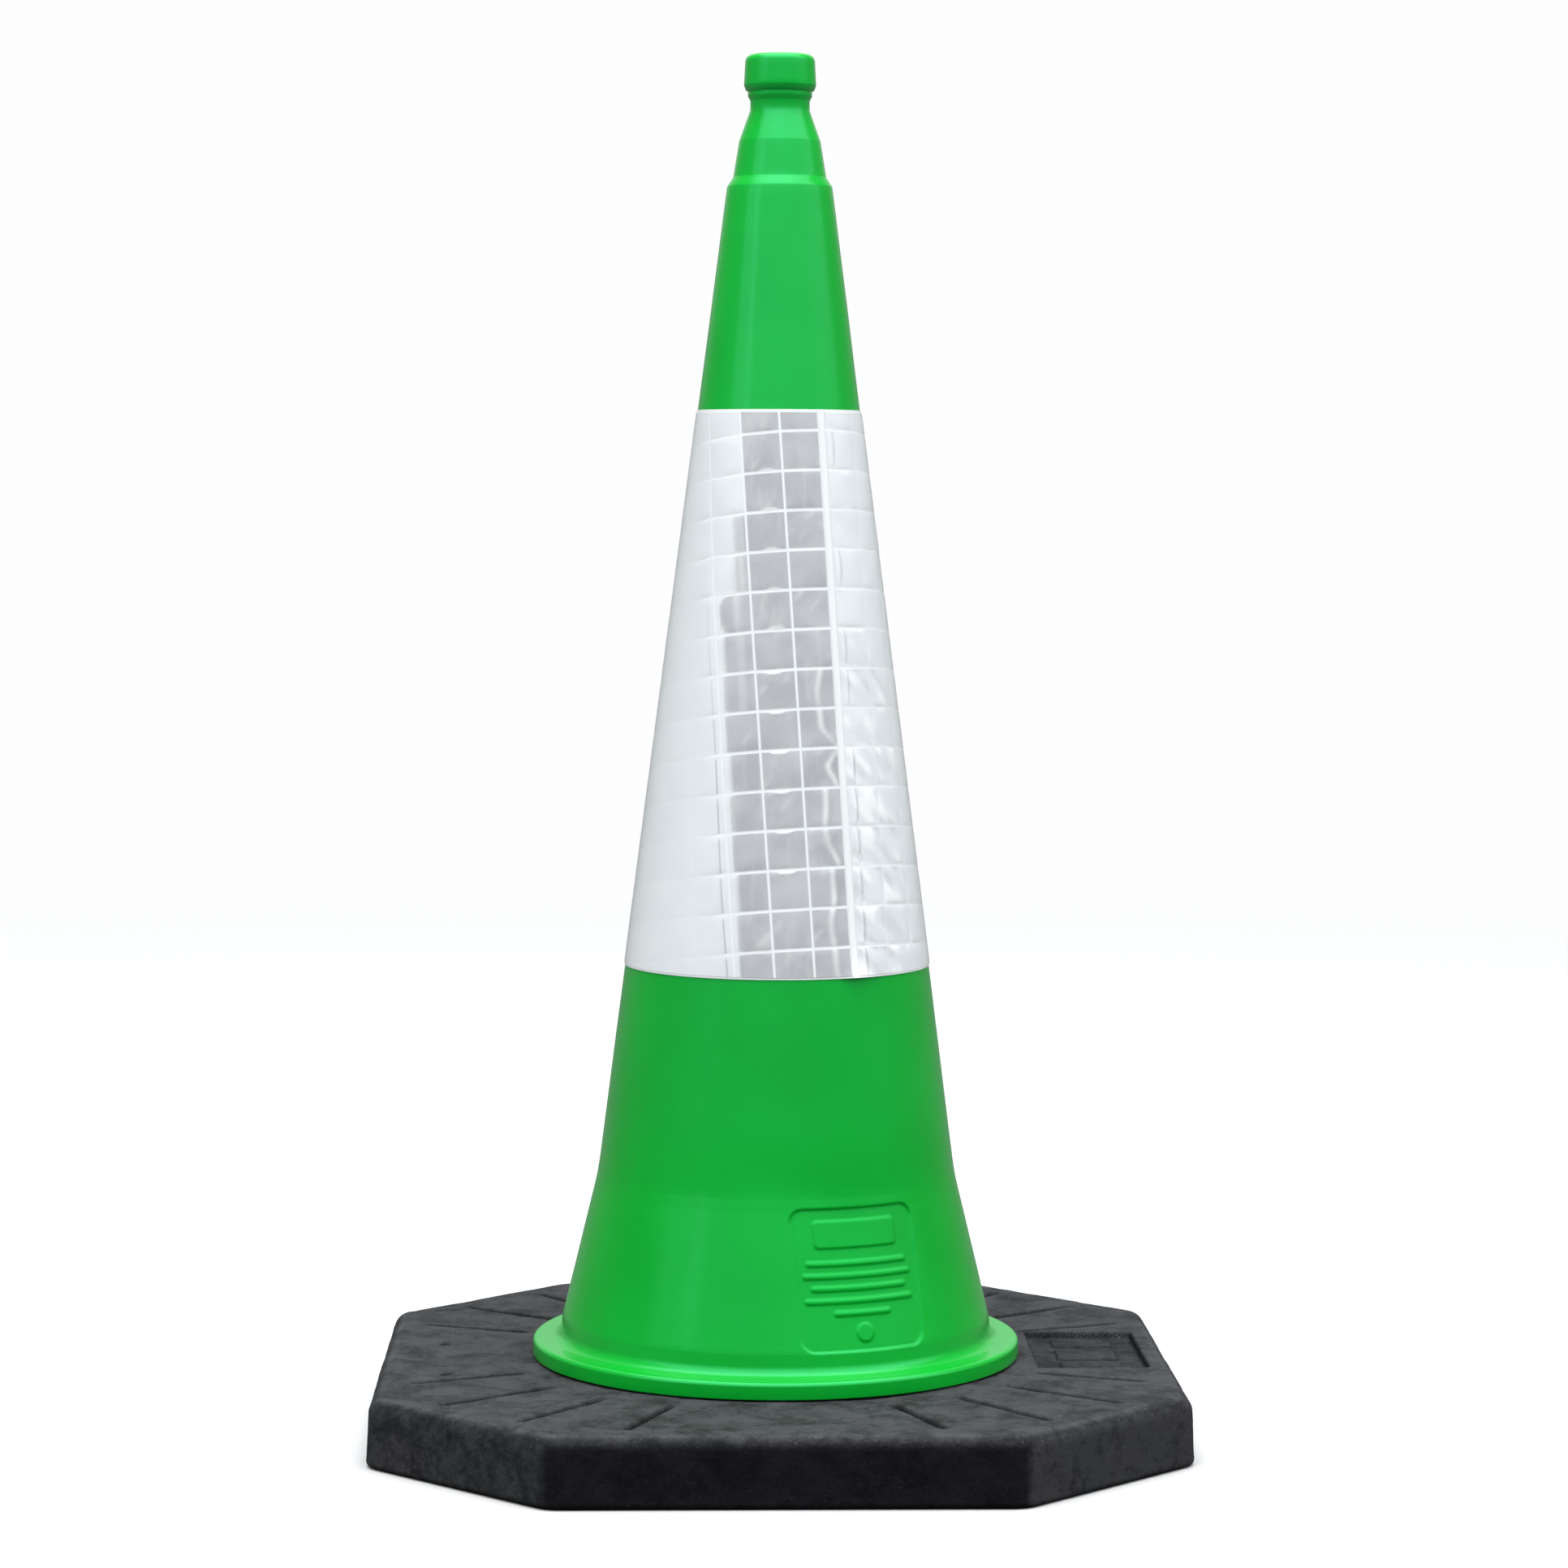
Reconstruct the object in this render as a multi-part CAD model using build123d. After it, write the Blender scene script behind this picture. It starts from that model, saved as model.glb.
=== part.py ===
"""Two-piece road cone, 1 m high, with a pull-on reflective sleeve.

Millimetres, +Z up. The origin is on the ground under the middle of the base.
One STEP file is written for each separate piece.
"""

import math
import os

from build123d import *

# Whole object
TOTAL_HEIGHT = 1000.0
BASE_HEIGHT = 50.0

# Green shell: the tapers, given as a radius at a height
WALL = 3.0
STEP_Z, STEP_RADIUS = 905.0, 38.2
KNEE_Z, KNEE_RADIUS = 185.0, 131.2
FLARE_Z, FLARE_RADIUS = 66.0, 160.0

# Green shell: head, neck and collar
HEAD_RADIUS = 25.6
HEAD_LOW_Z, HEAD_HIGH_Z = 977.0, 989.0
HEAD_DRAFT = 0.6
LAMP_HOLE_RADIUS = 17.5
BEAD_RADIUS, BEAD_LOW_Z, BEAD_HIGH_Z = 23.3, 970.2, 972.6
NECK_RADIUS, NECK_LOW_Z, NECK_HIGH_Z = 21.2, 960.0, 967.0
COLLAR_HIGH_Z, COLLAR_HIGH_RADIUS = 938.0, 29.5
COLLAR_LOW_Z, COLLAR_LOW_RADIUS = 911.8, 33.8

# Green shell: flange, and the skirt below it that snaps into the base
FLANGE_RADIUS = 179.0
FLANGE_TOP_Z = 63.4
FLANGE_PLATE = 4.2
RIM_LOW_Z = 51.0
RIM_WALL = 3.5
SEAT_INNER, SEAT_OUTER = 167.0, 171.0
SKIRT_RADIUS = 163.0
SKIRT_LOW_Z = 14.0
LUG_COUNT = 8
LUG_REACH = 4.5
LUG_TOP_Z = 21.0
LUG_ARC = 14.0
SLOT_WIDTH = 6.0
SLOT_TOP_Z = 44.0

# Recessed blank nameplate on the flare, and the plain raised bars inside it
PLATE_BEARING = -67.0
PLATE_WIDTH, PLATE_HEIGHT, PLATE_CORNER = 96.0, 98.5, 10.0
PLATE_Z = 128.7
PLATE_DEPTH = 1.1
BAR_RELIEF = 0.8
BAR_HEIGHT = 3.6
BAR_PITCH = 8.6
BAR_LENGTHS = (78.0, 84.0, 74.0, 84.0, 44.0)

# Reflective sleeve: two laminated gores, each half of the cone, welded along two seams
SLEEVE_LOW_Z, SLEEVE_HIGH_Z = 338.8, 743.3
SLEEVE_CLEARANCE = 0.3
BACKING_THICKNESS = 0.6
FACING_THICKNESS = 0.5
SEAM_WIDTH = 5.0
SEAM_RISE = 0.5
SEAM_BEARING = -61.7

# Base: a square with its corners cut off
BASE_HALF = 292.5
BASE_CUT = 129.0
BASE_DRAFT = 3.0
BASE_CORNER = 24.0
BASE_TOP_ROUND = 9.0
BASE_FOOT_ROUND = 4.0
WELL_RADIUS = SKIRT_RADIUS + 0.5
UNDERCUT_RADIUS = SKIRT_RADIUS + LUG_REACH + 2.0
UNDERCUT_Z = LUG_TOP_Z + 1.0
WELL_CHAMFER = 2.0

# Base: grooves, recess and dents on top
GROOVE_WIDTH = 5.0
GROOVE_DEPTH = 2.6
GROOVE_START = 200.0
OUTER_GROOVES = (22.5, 67.5, 284.0)
INNER_GROOVES = (37.5, 52.5, 300.0)
RECESS_CENTRE = (230.5, 6.0)
RECESS_SIZE = (81.0, 132.0)
RECESS_DEPTH = 3.0
RECESS_BARS = (24.0, 38.0, 24.0)
DENTS = ((-245.0, 37.0), (-239.0, -77.0))
DENT_RADIUS = 5.0
DENT_DEPTH = 1.5

# Base: hollows in the underside, with radial ribs between them
POCKET_COUNT = 16
POCKET_HEIGHT = 30.0
POCKET_INNER = 184.0
POCKET_WALL = 16.0
RIB_WIDTH = 10.0
RING_RIB_RADIUS = 236.0


def on_line(z, low, high):
    """Radius at z on the straight line between two (height, radius) pairs."""
    share = (z - low[0]) / (high[0] - low[0])
    return low[1] + share * (high[1] - low[1])


def taper_radius(z):
    """Outer radius of the shell's main taper."""
    return on_line(z, (KNEE_Z, KNEE_RADIUS), (STEP_Z, STEP_RADIUS))


def flare_radius(z):
    """Outer radius of the shell's flared foot."""
    return on_line(z, (FLARE_Z, FLARE_RADIUS), (KNEE_Z, KNEE_RADIUS))


def revolved(points, rounds=()):
    """Turn a closed (radius, height) outline about Z, with some corners rounded."""
    face = make_face(Polyline(*points, close=True))
    for corner, radius in rounds:
        nearest = min(face.vertices(), key=lambda v: math.dist((v.X, v.Y), corner))
        face = fillet(nearest, radius)
    return revolve(Plane.XZ * face, Axis.Z)


def ring_between(radius_at, low_z, high_z, inner, outer):
    """Conical ring that follows a taper, from one radial offset to another."""
    return revolved([
        (radius_at(low_z) + inner, low_z),
        (radius_at(low_z) + outer, low_z),
        (radius_at(high_z) + outer, high_z),
        (radius_at(high_z) + inner, high_z),
    ])


def shell_outline():
    """Outline of the green shell, outside first from the head down, then inside up."""
    head_top = HEAD_RADIUS - HEAD_DRAFT
    plate_low = FLANGE_TOP_Z - FLANGE_PLATE
    skirt_inner = SKIRT_RADIUS - WALL
    inner_join_z = plate_low - 1.0
    flare_top = (flare_radius(FLANGE_TOP_Z), FLANGE_TOP_Z)
    outside = [
        (head_top, TOTAL_HEIGHT),
        (HEAD_RADIUS, HEAD_HIGH_Z),
        (HEAD_RADIUS, HEAD_LOW_Z),
        (HEAD_RADIUS - 0.8, HEAD_LOW_Z - 2.6),
        (BEAD_RADIUS - 0.5, BEAD_HIGH_Z + 0.8),
        (BEAD_RADIUS, BEAD_HIGH_Z),
        (BEAD_RADIUS, BEAD_LOW_Z),
        (NECK_RADIUS, NECK_HIGH_Z),
        (NECK_RADIUS, NECK_LOW_Z),
        (COLLAR_HIGH_RADIUS, COLLAR_HIGH_Z),
        (COLLAR_LOW_RADIUS, COLLAR_LOW_Z),
        (STEP_RADIUS, STEP_Z),
        (KNEE_RADIUS, KNEE_Z),
        flare_top,
        (FLANGE_RADIUS, FLANGE_TOP_Z),
        (FLANGE_RADIUS, RIM_LOW_Z),
    ]
    underside = [
        (FLANGE_RADIUS - RIM_WALL, RIM_LOW_Z),
        (FLANGE_RADIUS - RIM_WALL, plate_low),
        (SEAT_OUTER, plate_low),
        (SEAT_OUTER, BASE_HEIGHT),
        (SEAT_INNER, BASE_HEIGHT),
        (SEAT_INNER, plate_low),
        (SKIRT_RADIUS, plate_low),
        (SKIRT_RADIUS, SKIRT_LOW_Z),
    ]
    inside = [
        (skirt_inner, SKIRT_LOW_Z),
        (skirt_inner, inner_join_z),
        (flare_radius(FLARE_Z) - WALL, FLARE_Z),
        (KNEE_RADIUS - WALL, KNEE_Z),
        (STEP_RADIUS - WALL, STEP_Z - WALL),
        (COLLAR_LOW_RADIUS - WALL, COLLAR_LOW_Z),
        (COLLAR_HIGH_RADIUS - WALL, COLLAR_HIGH_Z),
        (LAMP_HOLE_RADIUS, NECK_LOW_Z),
        (LAMP_HOLE_RADIUS, TOTAL_HEIGHT),
    ]
    rounds = [
        ((head_top, TOTAL_HEIGHT), 4.5),
        ((NECK_RADIUS, NECK_HIGH_Z), 2.0),
        ((NECK_RADIUS, NECK_LOW_Z), 9.0),
        ((STEP_RADIUS, STEP_Z), 2.0),
        ((KNEE_RADIUS, KNEE_Z), 12.0),
        (flare_top, 9.0),
        ((FLANGE_RADIUS, FLANGE_TOP_Z), 4.5),
        ((FLANGE_RADIUS, RIM_LOW_Z), 1.0),
        ((LAMP_HOLE_RADIUS, TOTAL_HEIGHT), 1.5),
    ]
    return outside + underside + inside, rounds


def skirt_lugs():
    """Snap lugs round the foot of the skirt, flat on top and ramped below."""
    outer = SKIRT_RADIUS + LUG_REACH
    inner = SKIRT_RADIUS - WALL / 2
    profile = make_face(Polyline(
        (inner, SKIRT_LOW_Z),
        (SKIRT_RADIUS, SKIRT_LOW_Z),
        (outer, LUG_TOP_Z - 2.5),
        (outer, LUG_TOP_Z),
        (inner, LUG_TOP_Z),
        close=True,
    ))
    lug = Rot(0, 0, -LUG_ARC / 2) * revolve(Plane.XZ * profile, Axis.Z, LUG_ARC)
    return [Rot(0, 0, i * 360 / LUG_COUNT) * lug for i in range(LUG_COUNT)]


def skirt_slots():
    """Slots that let each length of the skirt flex while it snaps in."""
    height = SLOT_TOP_Z - SKIRT_LOW_Z
    slot = Pos(SKIRT_RADIUS, 0, SKIRT_LOW_Z + height / 2) * Box(4 * WALL, SLOT_WIDTH, height)
    half_step = 180 / LUG_COUNT
    return [Rot(0, 0, half_step + i * 360 / LUG_COUNT) * slot for i in range(LUG_COUNT)]


def plate_prism(width, height, corner, z):
    """Rounded bar that runs out through the flare at the nameplate's bearing."""
    flat = Plane(origin=(0, 0, z), x_dir=(0, 1, 0), z_dir=(1, 0, 0))
    outline = flat * RectangleRounded(width, height, corner)
    return Rot(0, 0, PLATE_BEARING) * extrude(outline, 1.2 * FLANGE_RADIUS)


def plate_recess():
    """The shallow recess of the nameplate."""
    skin = ring_between(flare_radius, FLARE_Z + 5, KNEE_Z - 1, -PLATE_DEPTH, 2.0)
    return plate_prism(PLATE_WIDTH, PLATE_HEIGHT, PLATE_CORNER, PLATE_Z) & skin


def plate_marks():
    """Plain raised marks: a blank label, five bars and a round stud, with no lettering."""
    floor = -PLATE_DEPTH
    skin = ring_between(flare_radius, FLARE_Z + 5, KNEE_Z - 1, floor - 0.4, floor + BAR_RELIEF)
    top_z = PLATE_Z + PLATE_HEIGHT / 2
    marks = [plate_prism(64.0, 19.0, 3.0, top_z - 18.0) & skin]
    for i, length in enumerate(BAR_LENGTHS):
        z = top_z - 38.0 - i * BAR_PITCH
        marks.append(plate_prism(length, BAR_HEIGHT, BAR_HEIGHT * 0.45, z) & skin)
    stud = plate_prism(13.0, 13.0, 6.4, top_z - 86.0) & skin
    return marks + [stud]


def cone_body():
    """The one-piece green shell."""
    points, rounds = shell_outline()
    body = revolved(points, rounds)
    body = body + skirt_lugs()
    body = body - skirt_slots()
    body = body - plate_recess()
    return body + plate_marks()


def half_ring(inner, outer):
    """Half of a conical ring on the main taper, ending at both seams."""
    profile = make_face(Polyline(
        (taper_radius(SLEEVE_LOW_Z) + inner, SLEEVE_LOW_Z),
        (taper_radius(SLEEVE_LOW_Z) + outer, SLEEVE_LOW_Z),
        (taper_radius(SLEEVE_HIGH_Z) + outer, SLEEVE_HIGH_Z),
        (taper_radius(SLEEVE_HIGH_Z) + inner, SLEEVE_HIGH_Z),
        close=True,
    ))
    return Rot(0, 0, SEAM_BEARING - 180) * revolve(Plane.XZ * profile, Axis.Z, 180)


def seam_slab():
    """Slab that stands on one seam, through the whole height of the sleeve."""
    height = SLEEVE_HIGH_Z - SLEEVE_LOW_Z
    slab = Pos(KNEE_RADIUS / 2, 0, SLEEVE_LOW_Z + height / 2) * Box(KNEE_RADIUS, SEAM_WIDTH, 2 * height)
    return Rot(0, 0, SEAM_BEARING) * slab


def sleeve_gore():
    """One gore: its white backing, with the border that laps the other gore, and its clear facing."""
    middle = SLEEVE_CLEARANCE + BACKING_THICKNESS
    outer = middle + FACING_THICKNESS
    lap = ring_between(taper_radius, SLEEVE_LOW_Z, SLEEVE_HIGH_Z, middle, outer + SEAM_RISE)
    backing = half_ring(SLEEVE_CLEARANCE, middle) + (lap & seam_slab())
    facing = half_ring(middle, outer) - [seam_slab(), Rot(0, 0, 180) * seam_slab()]
    return backing, facing


def octagon(half, cut, corner):
    """Plan outline of the base: a square of the given half width with its corners cut."""
    near = half - cut
    corners = [(half, near), (near, half), (-near, half), (-half, near)]
    corners += [(-x, -y) for x, y in corners]
    face = make_face(Polyline(*corners, close=True))
    return fillet(face.vertices(), corner) if corner else face


def base_block():
    """Solid block of the base, tapering upwards, with rounded edges."""
    block = extrude(octagon(BASE_HALF, BASE_CUT, BASE_CORNER), BASE_HEIGHT, taper=BASE_DRAFT)
    block = fillet(block.faces().sort_by(Axis.Z)[-1].edges(), BASE_TOP_ROUND)
    return fillet(block.faces().sort_by(Axis.Z)[0].edges(), BASE_FOOT_ROUND)


def base_well():
    """The central well, with the undercut that the snap lugs catch in."""
    return revolved([
        (0, -1),
        (UNDERCUT_RADIUS, -1),
        (UNDERCUT_RADIUS, UNDERCUT_Z),
        (WELL_RADIUS, UNDERCUT_Z),
        (WELL_RADIUS, BASE_HEIGHT - WELL_CHAMFER),
        (WELL_RADIUS + WELL_CHAMFER, BASE_HEIGHT + 0.001),
        (0, BASE_HEIGHT + 0.001),
    ])


def base_grooves():
    """Radial grooves on the top, four about each diagonal, with rounded ends."""
    grooves = []
    for first, second, end in (OUTER_GROOVES, INNER_GROOVES):
        length = end - GROOVE_START
        sketch = Pos(GROOVE_START + length / 2, 0) * SlotOverall(length, GROOVE_WIDTH)
        groove = Pos(0, 0, BASE_HEIGHT - GROOVE_DEPTH) * extrude(sketch, 2 * GROOVE_DEPTH)
        for quarter in range(4):
            for angle in (first, second):
                grooves.append(Rot(0, 0, angle + 90 * quarter) * groove)
    return grooves


def base_recess():
    """The rectangular recess on the top, with plain raised bars left in it."""
    floor_z = BASE_HEIGHT - RECESS_DEPTH
    x, y = RECESS_CENTRE
    recess = Pos(x, y, floor_z) * extrude(RectangleRounded(*RECESS_SIZE, 3.0), 2 * RECESS_DEPTH)
    for i, width in enumerate(RECESS_BARS):
        bar_y = y + (i - 1) * 40.0
        bar = Pos(x, bar_y, floor_z) * extrude(RectangleRounded(44.0, width, 3.0), RECESS_DEPTH - 0.8)
        recess = recess - bar
    return recess


def base_dents():
    """Two shallow round dents on the top."""
    return [Pos(x, y, BASE_HEIGHT) * Cylinder(DENT_RADIUS, 2 * DENT_DEPTH) for x, y in DENTS]


def base_pockets():
    """Hollows in the underside, parted by radial ribs and one ring rib."""
    cut = BASE_CUT - POCKET_WALL * (2 - math.sqrt(2))
    area = octagon(BASE_HALF - POCKET_WALL, cut, 0) - Circle(POCKET_INNER)
    area = area - (Circle(RING_RIB_RADIUS + RIB_WIDTH / 2) - Circle(RING_RIB_RADIUS - RIB_WIDTH / 2))
    hollows = Pos(0, 0, -1) * extrude(area, POCKET_HEIGHT + 1)
    rib = Pos(0, 0, POCKET_HEIGHT / 2) * Box(3 * BASE_HALF, RIB_WIDTH, 2 * POCKET_HEIGHT)
    return hollows - [Rot(0, 0, i * 360 / POCKET_COUNT) * rib for i in range(POCKET_COUNT // 2)]


def ballast_base():
    """The heavy octagonal base."""
    block = base_block() - base_well()
    block = block - base_grooves()
    block = block - base_recess()
    block = block - base_dents()
    return block - base_pockets()


def main():
    os.makedirs("parts", exist_ok=True)
    pieces = {"cone_body": cone_body(), "ballast_base": ballast_base()}
    backing, facing = sleeve_gore()
    for side, turn in (("left", 0), ("right", 180)):
        pieces[f"sleeve_{side}_backing"] = Rot(0, 0, turn) * backing
        pieces[f"sleeve_{side}_facing"] = Rot(0, 0, turn) * facing
    for name, piece in pieces.items():
        export_step(piece, f"parts/{name}.step")
        print(name, round(piece.volume / 1000), "cm3")


main()
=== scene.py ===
import math

import bmesh
import bpy
import numpy as np
from mathutils import Matrix, Vector


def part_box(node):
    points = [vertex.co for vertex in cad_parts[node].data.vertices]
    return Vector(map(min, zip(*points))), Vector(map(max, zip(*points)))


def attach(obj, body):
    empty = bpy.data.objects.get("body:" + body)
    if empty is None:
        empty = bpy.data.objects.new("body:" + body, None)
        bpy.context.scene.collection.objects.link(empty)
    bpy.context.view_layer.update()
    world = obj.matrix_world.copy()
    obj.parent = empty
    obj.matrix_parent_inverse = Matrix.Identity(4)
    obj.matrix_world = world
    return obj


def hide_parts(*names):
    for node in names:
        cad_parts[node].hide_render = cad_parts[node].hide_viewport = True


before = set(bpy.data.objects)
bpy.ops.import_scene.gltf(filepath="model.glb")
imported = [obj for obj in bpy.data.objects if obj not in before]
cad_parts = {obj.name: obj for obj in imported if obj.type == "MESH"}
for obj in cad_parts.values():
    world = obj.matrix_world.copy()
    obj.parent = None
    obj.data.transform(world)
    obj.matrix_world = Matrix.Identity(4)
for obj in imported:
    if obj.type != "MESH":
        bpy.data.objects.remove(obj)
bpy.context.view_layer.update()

MM = 0.001
WELD_DISTANCE = 0.02 * MM

# Camera: how it stands to the cone's axis, and how it is turned
CAMERA_DISTANCE = 3.180
CAMERA_HEIGHT = 0.688
CAMERA_SIDE = 0.0047
CAMERA_YAW = math.radians(-1.70)
CAMERA_PITCH_DOWN = math.radians(3.91)
CAMERA_ROLL = math.radians(0.21)
CAMERA_LENS = 99.86
SENSOR_WIDTH = 36.0

# Green shell, in millimetres: the corners of its section as (radius, height, rounding)
TAPER_TOP, TAPER_FOOT = (38.2, 905.0), (131.2, 185.0)
OUTSIDE = (
    (20.0, 1000.0, 0.0), (25.1, 1000.0, 5.0), (26.2, 978.0, 1.6),
    (24.8, 974.4, 0.0), (22.8, 973.4, 0.3), (23.3, 972.6, 0.4),
    (23.3, 970.2, 0.5), (21.6, 967.0, 2.0), (21.6, 960.0, 9.0),
    (29.5, 938.0, 0.7), (33.8, 911.8, 1.2), TAPER_TOP + (2.0,),
    TAPER_FOOT + (160.0,), (157.2, 79.0, 40.0), (158.6, 63.4, 8.0),
    (179.0, 63.4, 3.2), (179.0, 51.0, 1.0),
)
UNDERSIDE = (
    (175.5, 51.0, 0.6), (175.5, 59.2, 1.0), (171.0, 59.2, 1.0),
    (171.0, 50.0, 0.3), (167.0, 50.0, 0.3), (167.0, 59.2, 1.0),
    (163.0, 59.2, 0.6),
)
SKIRT_OUTSIDE, SKIRT_INSIDE = 163.0, 160.0
SKIRT_LOW, SLOT_TOP, LUG_TOP = 14.0, 44.0, 21.0
INSIDE = (
    (157.0, 66.0, 2.0), (128.2, 185.0, 4.0), (35.2, 902.0, 0.0),
    (30.8, 911.8, 0.0), (26.5, 938.0, 0.0), (17.5, 960.0, 0.0),
    (17.5, 1000.0, 1.5),
)
LUG_COUNT = 8
LUG_REACH = 4.5
LUG_HALF_ARC = 7.0
LUG_EDGE, LUG_HEIGHT = 0.2, 2.5
SLOT_HALF_ARC = math.degrees(3.0 / SKIRT_OUTSIDE)
SKIRT_LEVELS = (58.0, SLOT_TOP, 33.0, LUG_TOP + LUG_EDGE, LUG_TOP - LUG_EDGE, LUG_TOP - LUG_HEIGHT, SKIRT_LOW)
SHELL_COLUMN_STEP = 3.6
TAPER_ROW_STEP, HEAD_ROW_STEP, UNDER_ROW_STEP, INNER_ROW_STEP = 8.0, 4.0, 6.0, 45.0
SHELL_WAVES = ((0.13, 55.0, 0.0), (0.065, 19.0, 7.0))
WAVE_FOOT, WAVE_HEAD = (66.0, 90.0), (960.0, 975.0)

# Nameplate in the flare; its plain marks are (height above its middle, half width, half height, corner)
PLATE_BEARING = -67.0
PLATE_HALF = (48.0, 49.25)
PLATE_CORNER = 10.0
PLATE_Z = 128.7
PLATE_DEPTH = 1.4
PLATE_REACH = 60.0
PLATE_FINE_ARC = 23.5
PLATE_COLUMN_STEP = 0.38
PLATE_ROW_STEP = 0.9
PLATE_PANEL, PLATE_STUD = (31.25, 32.0, 9.5, 3.0), (-36.75, 6.5, 6.5, 6.4)
MARK_RELIEF = 1.0
BAR_HALF_HEIGHT, BAR_CORNER = 1.8, 1.6
FIRST_BAR, BAR_PITCH = 11.25, 8.6
BAR_LENGTHS = (78.0, 84.0, 74.0, 84.0, 44.0)

# Base, in millimetres and degrees; its lumps are (height, size, seed)
BASE_HALF = 292.5
BASE_CUT = 129.0
BASE_DRAFT_INSET = 2.6
BASE_CORNER = 24.0
BASE_TOP = 50.0
BASE_TOP_ROUND, BASE_FOOT_ROUND = 12.0, 5.0
WELL_RADIUS, UNDERCUT_RADIUS, UNDERCUT_Z = 163.5, 169.5, 22.0
GROOVE_HALF_WIDTH, GROOVE_DEPTH, GROOVE_START = 4.0, 3.2, 200.0
GROOVES = ((22.5, 284.0), (37.5, 300.0), (52.5, 300.0), (67.5, 284.0))
RECESS_CENTRE, RECESS_HALF, RECESS_DEPTH = (230.5, 6.0), (40.5, 66.0), 4.4
RECESS_CORNER = 3.0
RECESS_BARS = (12.0, 19.0, 12.0)
RECESS_BAR_HALF, RECESS_BAR_PITCH, RECESS_BAR_RISE = 22.0, 40.0, 1.6
# Strength of the painted shade in the grooves, on the recess floor and round its bars
GROOVE_SHADE, RECESS_SHADE, BAR_SHADE = 0.9, 0.42, 0.75
DENTS = ((-245.0, 37.0), (-239.0, -77.0))
DENT_RADII, DENT_DEPTH = (3.5, 6.0), 1.5
POCKET_DEPTH, POCKET_INNER, POCKET_WALL = 30.0, 184.0, 16.0
POCKET_COUNT, RIB_HALF, RING_RIB = 16, 5.0, 236.0
BASE_COLUMN_STEP, BASE_ROW_STEP, TOP_ROW_COUNT = 1.6, 4.0, 42
UNDER_INSETS, UNDER_SHARES, UNDER_MIDDLE = (10.0, 15.5, 16.5, 18.5), (0.3, 0.6, 0.9), 248.0
UNDER_RADII = (244.0, 242.5, 241.0, 236.0, 231.0, 229.5, 228.0, 218.0, 206.0, 195.0, 188.0, 186.0,
               184.0, 177.0)
LUMPS = ((0.42, 46.0, 0.0), (0.22, 15.0, 3.0), (0.10, 6.5, 9.0))

# Sleeve: its films and the facing's weld grid, in millimetres on the flat film, and counted in cells
SEAM_BEARING = -61.7
SEAM_HALF = 2.5
CELL = 28.5
FIRST_ROW = 15.0
WELD_ACROSS, WELD_DOWN = 0.55, 0.8
FINE_STEPS = (0.0, 0.5, 0.9, 1.7, 2.7, 3.8, 4.8, 5.8, 6.8, 7.8, 8.8, 9.8, 10.8, 11.8, 13.0, 14.25)
EVEN_STEPS = (0.0, 0.7, 1.2, 1.9, 3.2, 5.4, 8.4, 11.4, 14.25)
COARSE_STEPS = (0.0, 0.5, 1.1, 3.4, 7.5, 14.25)
FINE_CELLS, EVEN_CELLS = {-1: 2, 1: 1}, 4
ROWS_ABOVE, ROWS_BELOW = 2, 15
TOP_BORDER, FOOT_BORDER = 2.2, 1.4
FILM_GAP, BACKING, FACING = 0.22, 0.4, 0.35
# The painted grey reflection: how many columns beside the seam are all grey, how far it reaches into the next
# column in some upper rows, the row from which it reaches furthest, and the bearing and half width of the
# grey across the back
GREY_COLUMNS = 2
GREY_REACH = {2: 0.34, 3: 0.42}
FULL_GREY_ROW = 4
GREY_BACK = (165.0, 19.0)
# Rows whose cells get a painted glint by their lower weld, and rows by their upper weld
GLINTS_LOW, GLINTS_HIGH = (0, 1, 2, 3, 4), (6, 7, 8, 9, 10, 11)
CURL_LOW, CURL_HIGH = {7: 9.5, 8: 9.0, 10: 5.0}, {8: 9.0}
# A crease on the left, drawn only as a painted shade line, and the extra columns round it
LEFT_CREASE, CREASE_STEPS = SEAM_HALF + 3 * CELL + 5.5, (-1.1, -0.55, 0.0, 0.55, 1.1)
FOOT_LIFT, FOOT_LIFT_HEIGHT = 2.6, 11.0
STRIP_ACROSS = (-2.7, -2.45, -1.6, 0.0, 1.6, 2.45, 2.7)
STRIP_CROWN = (-0.30, 0.30, 0.42, 0.36, 0.42, 0.30, -0.30)
STRIP_FILM = 0.3

# Colours, as linear red, green, blue and alpha
GREEN_DEEP, GREEN_FRESH = (0.0008, 0.262, 0.014, 1), (0.0016, 0.292, 0.018, 1)
# Painted light: a lightening of the upper shell, then the tint of the shell's gloss
GREEN_UPPER_PAINTED_LIGHT, GREEN_SHEEN = (1.13, 1.13, 1.18, 1), (0.27, 1.0, 0.80, 1)
BARE_BLACK, BARE_GREY = (0.0014, 0.0014, 0.0018, 1), (0.0034, 0.0034, 0.0042, 1)
# Colour of the dust on the base's top, also used as painted light on its side faces
GRIME_AND_SIDE_LIGHT_COOL, GRIME_AND_SIDE_LIGHT_WARM = (0.0250, 0.0278, 0.0280, 1), (0.0300, 0.0298, 0.0322, 1)
WORN_EDGE, CHIP = (0.051, 0.053, 0.056, 1), (0.19, 0.195, 0.20, 1)
WHITE_DULL, WHITE_CLEAN = (0.614, 0.643, 0.650, 1), (0.652, 0.679, 0.682, 1)
FACING_DULL, FACING_CLEAN = (0.535, 0.563, 0.578, 1), (0.600, 0.624, 0.632, 1)
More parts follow.
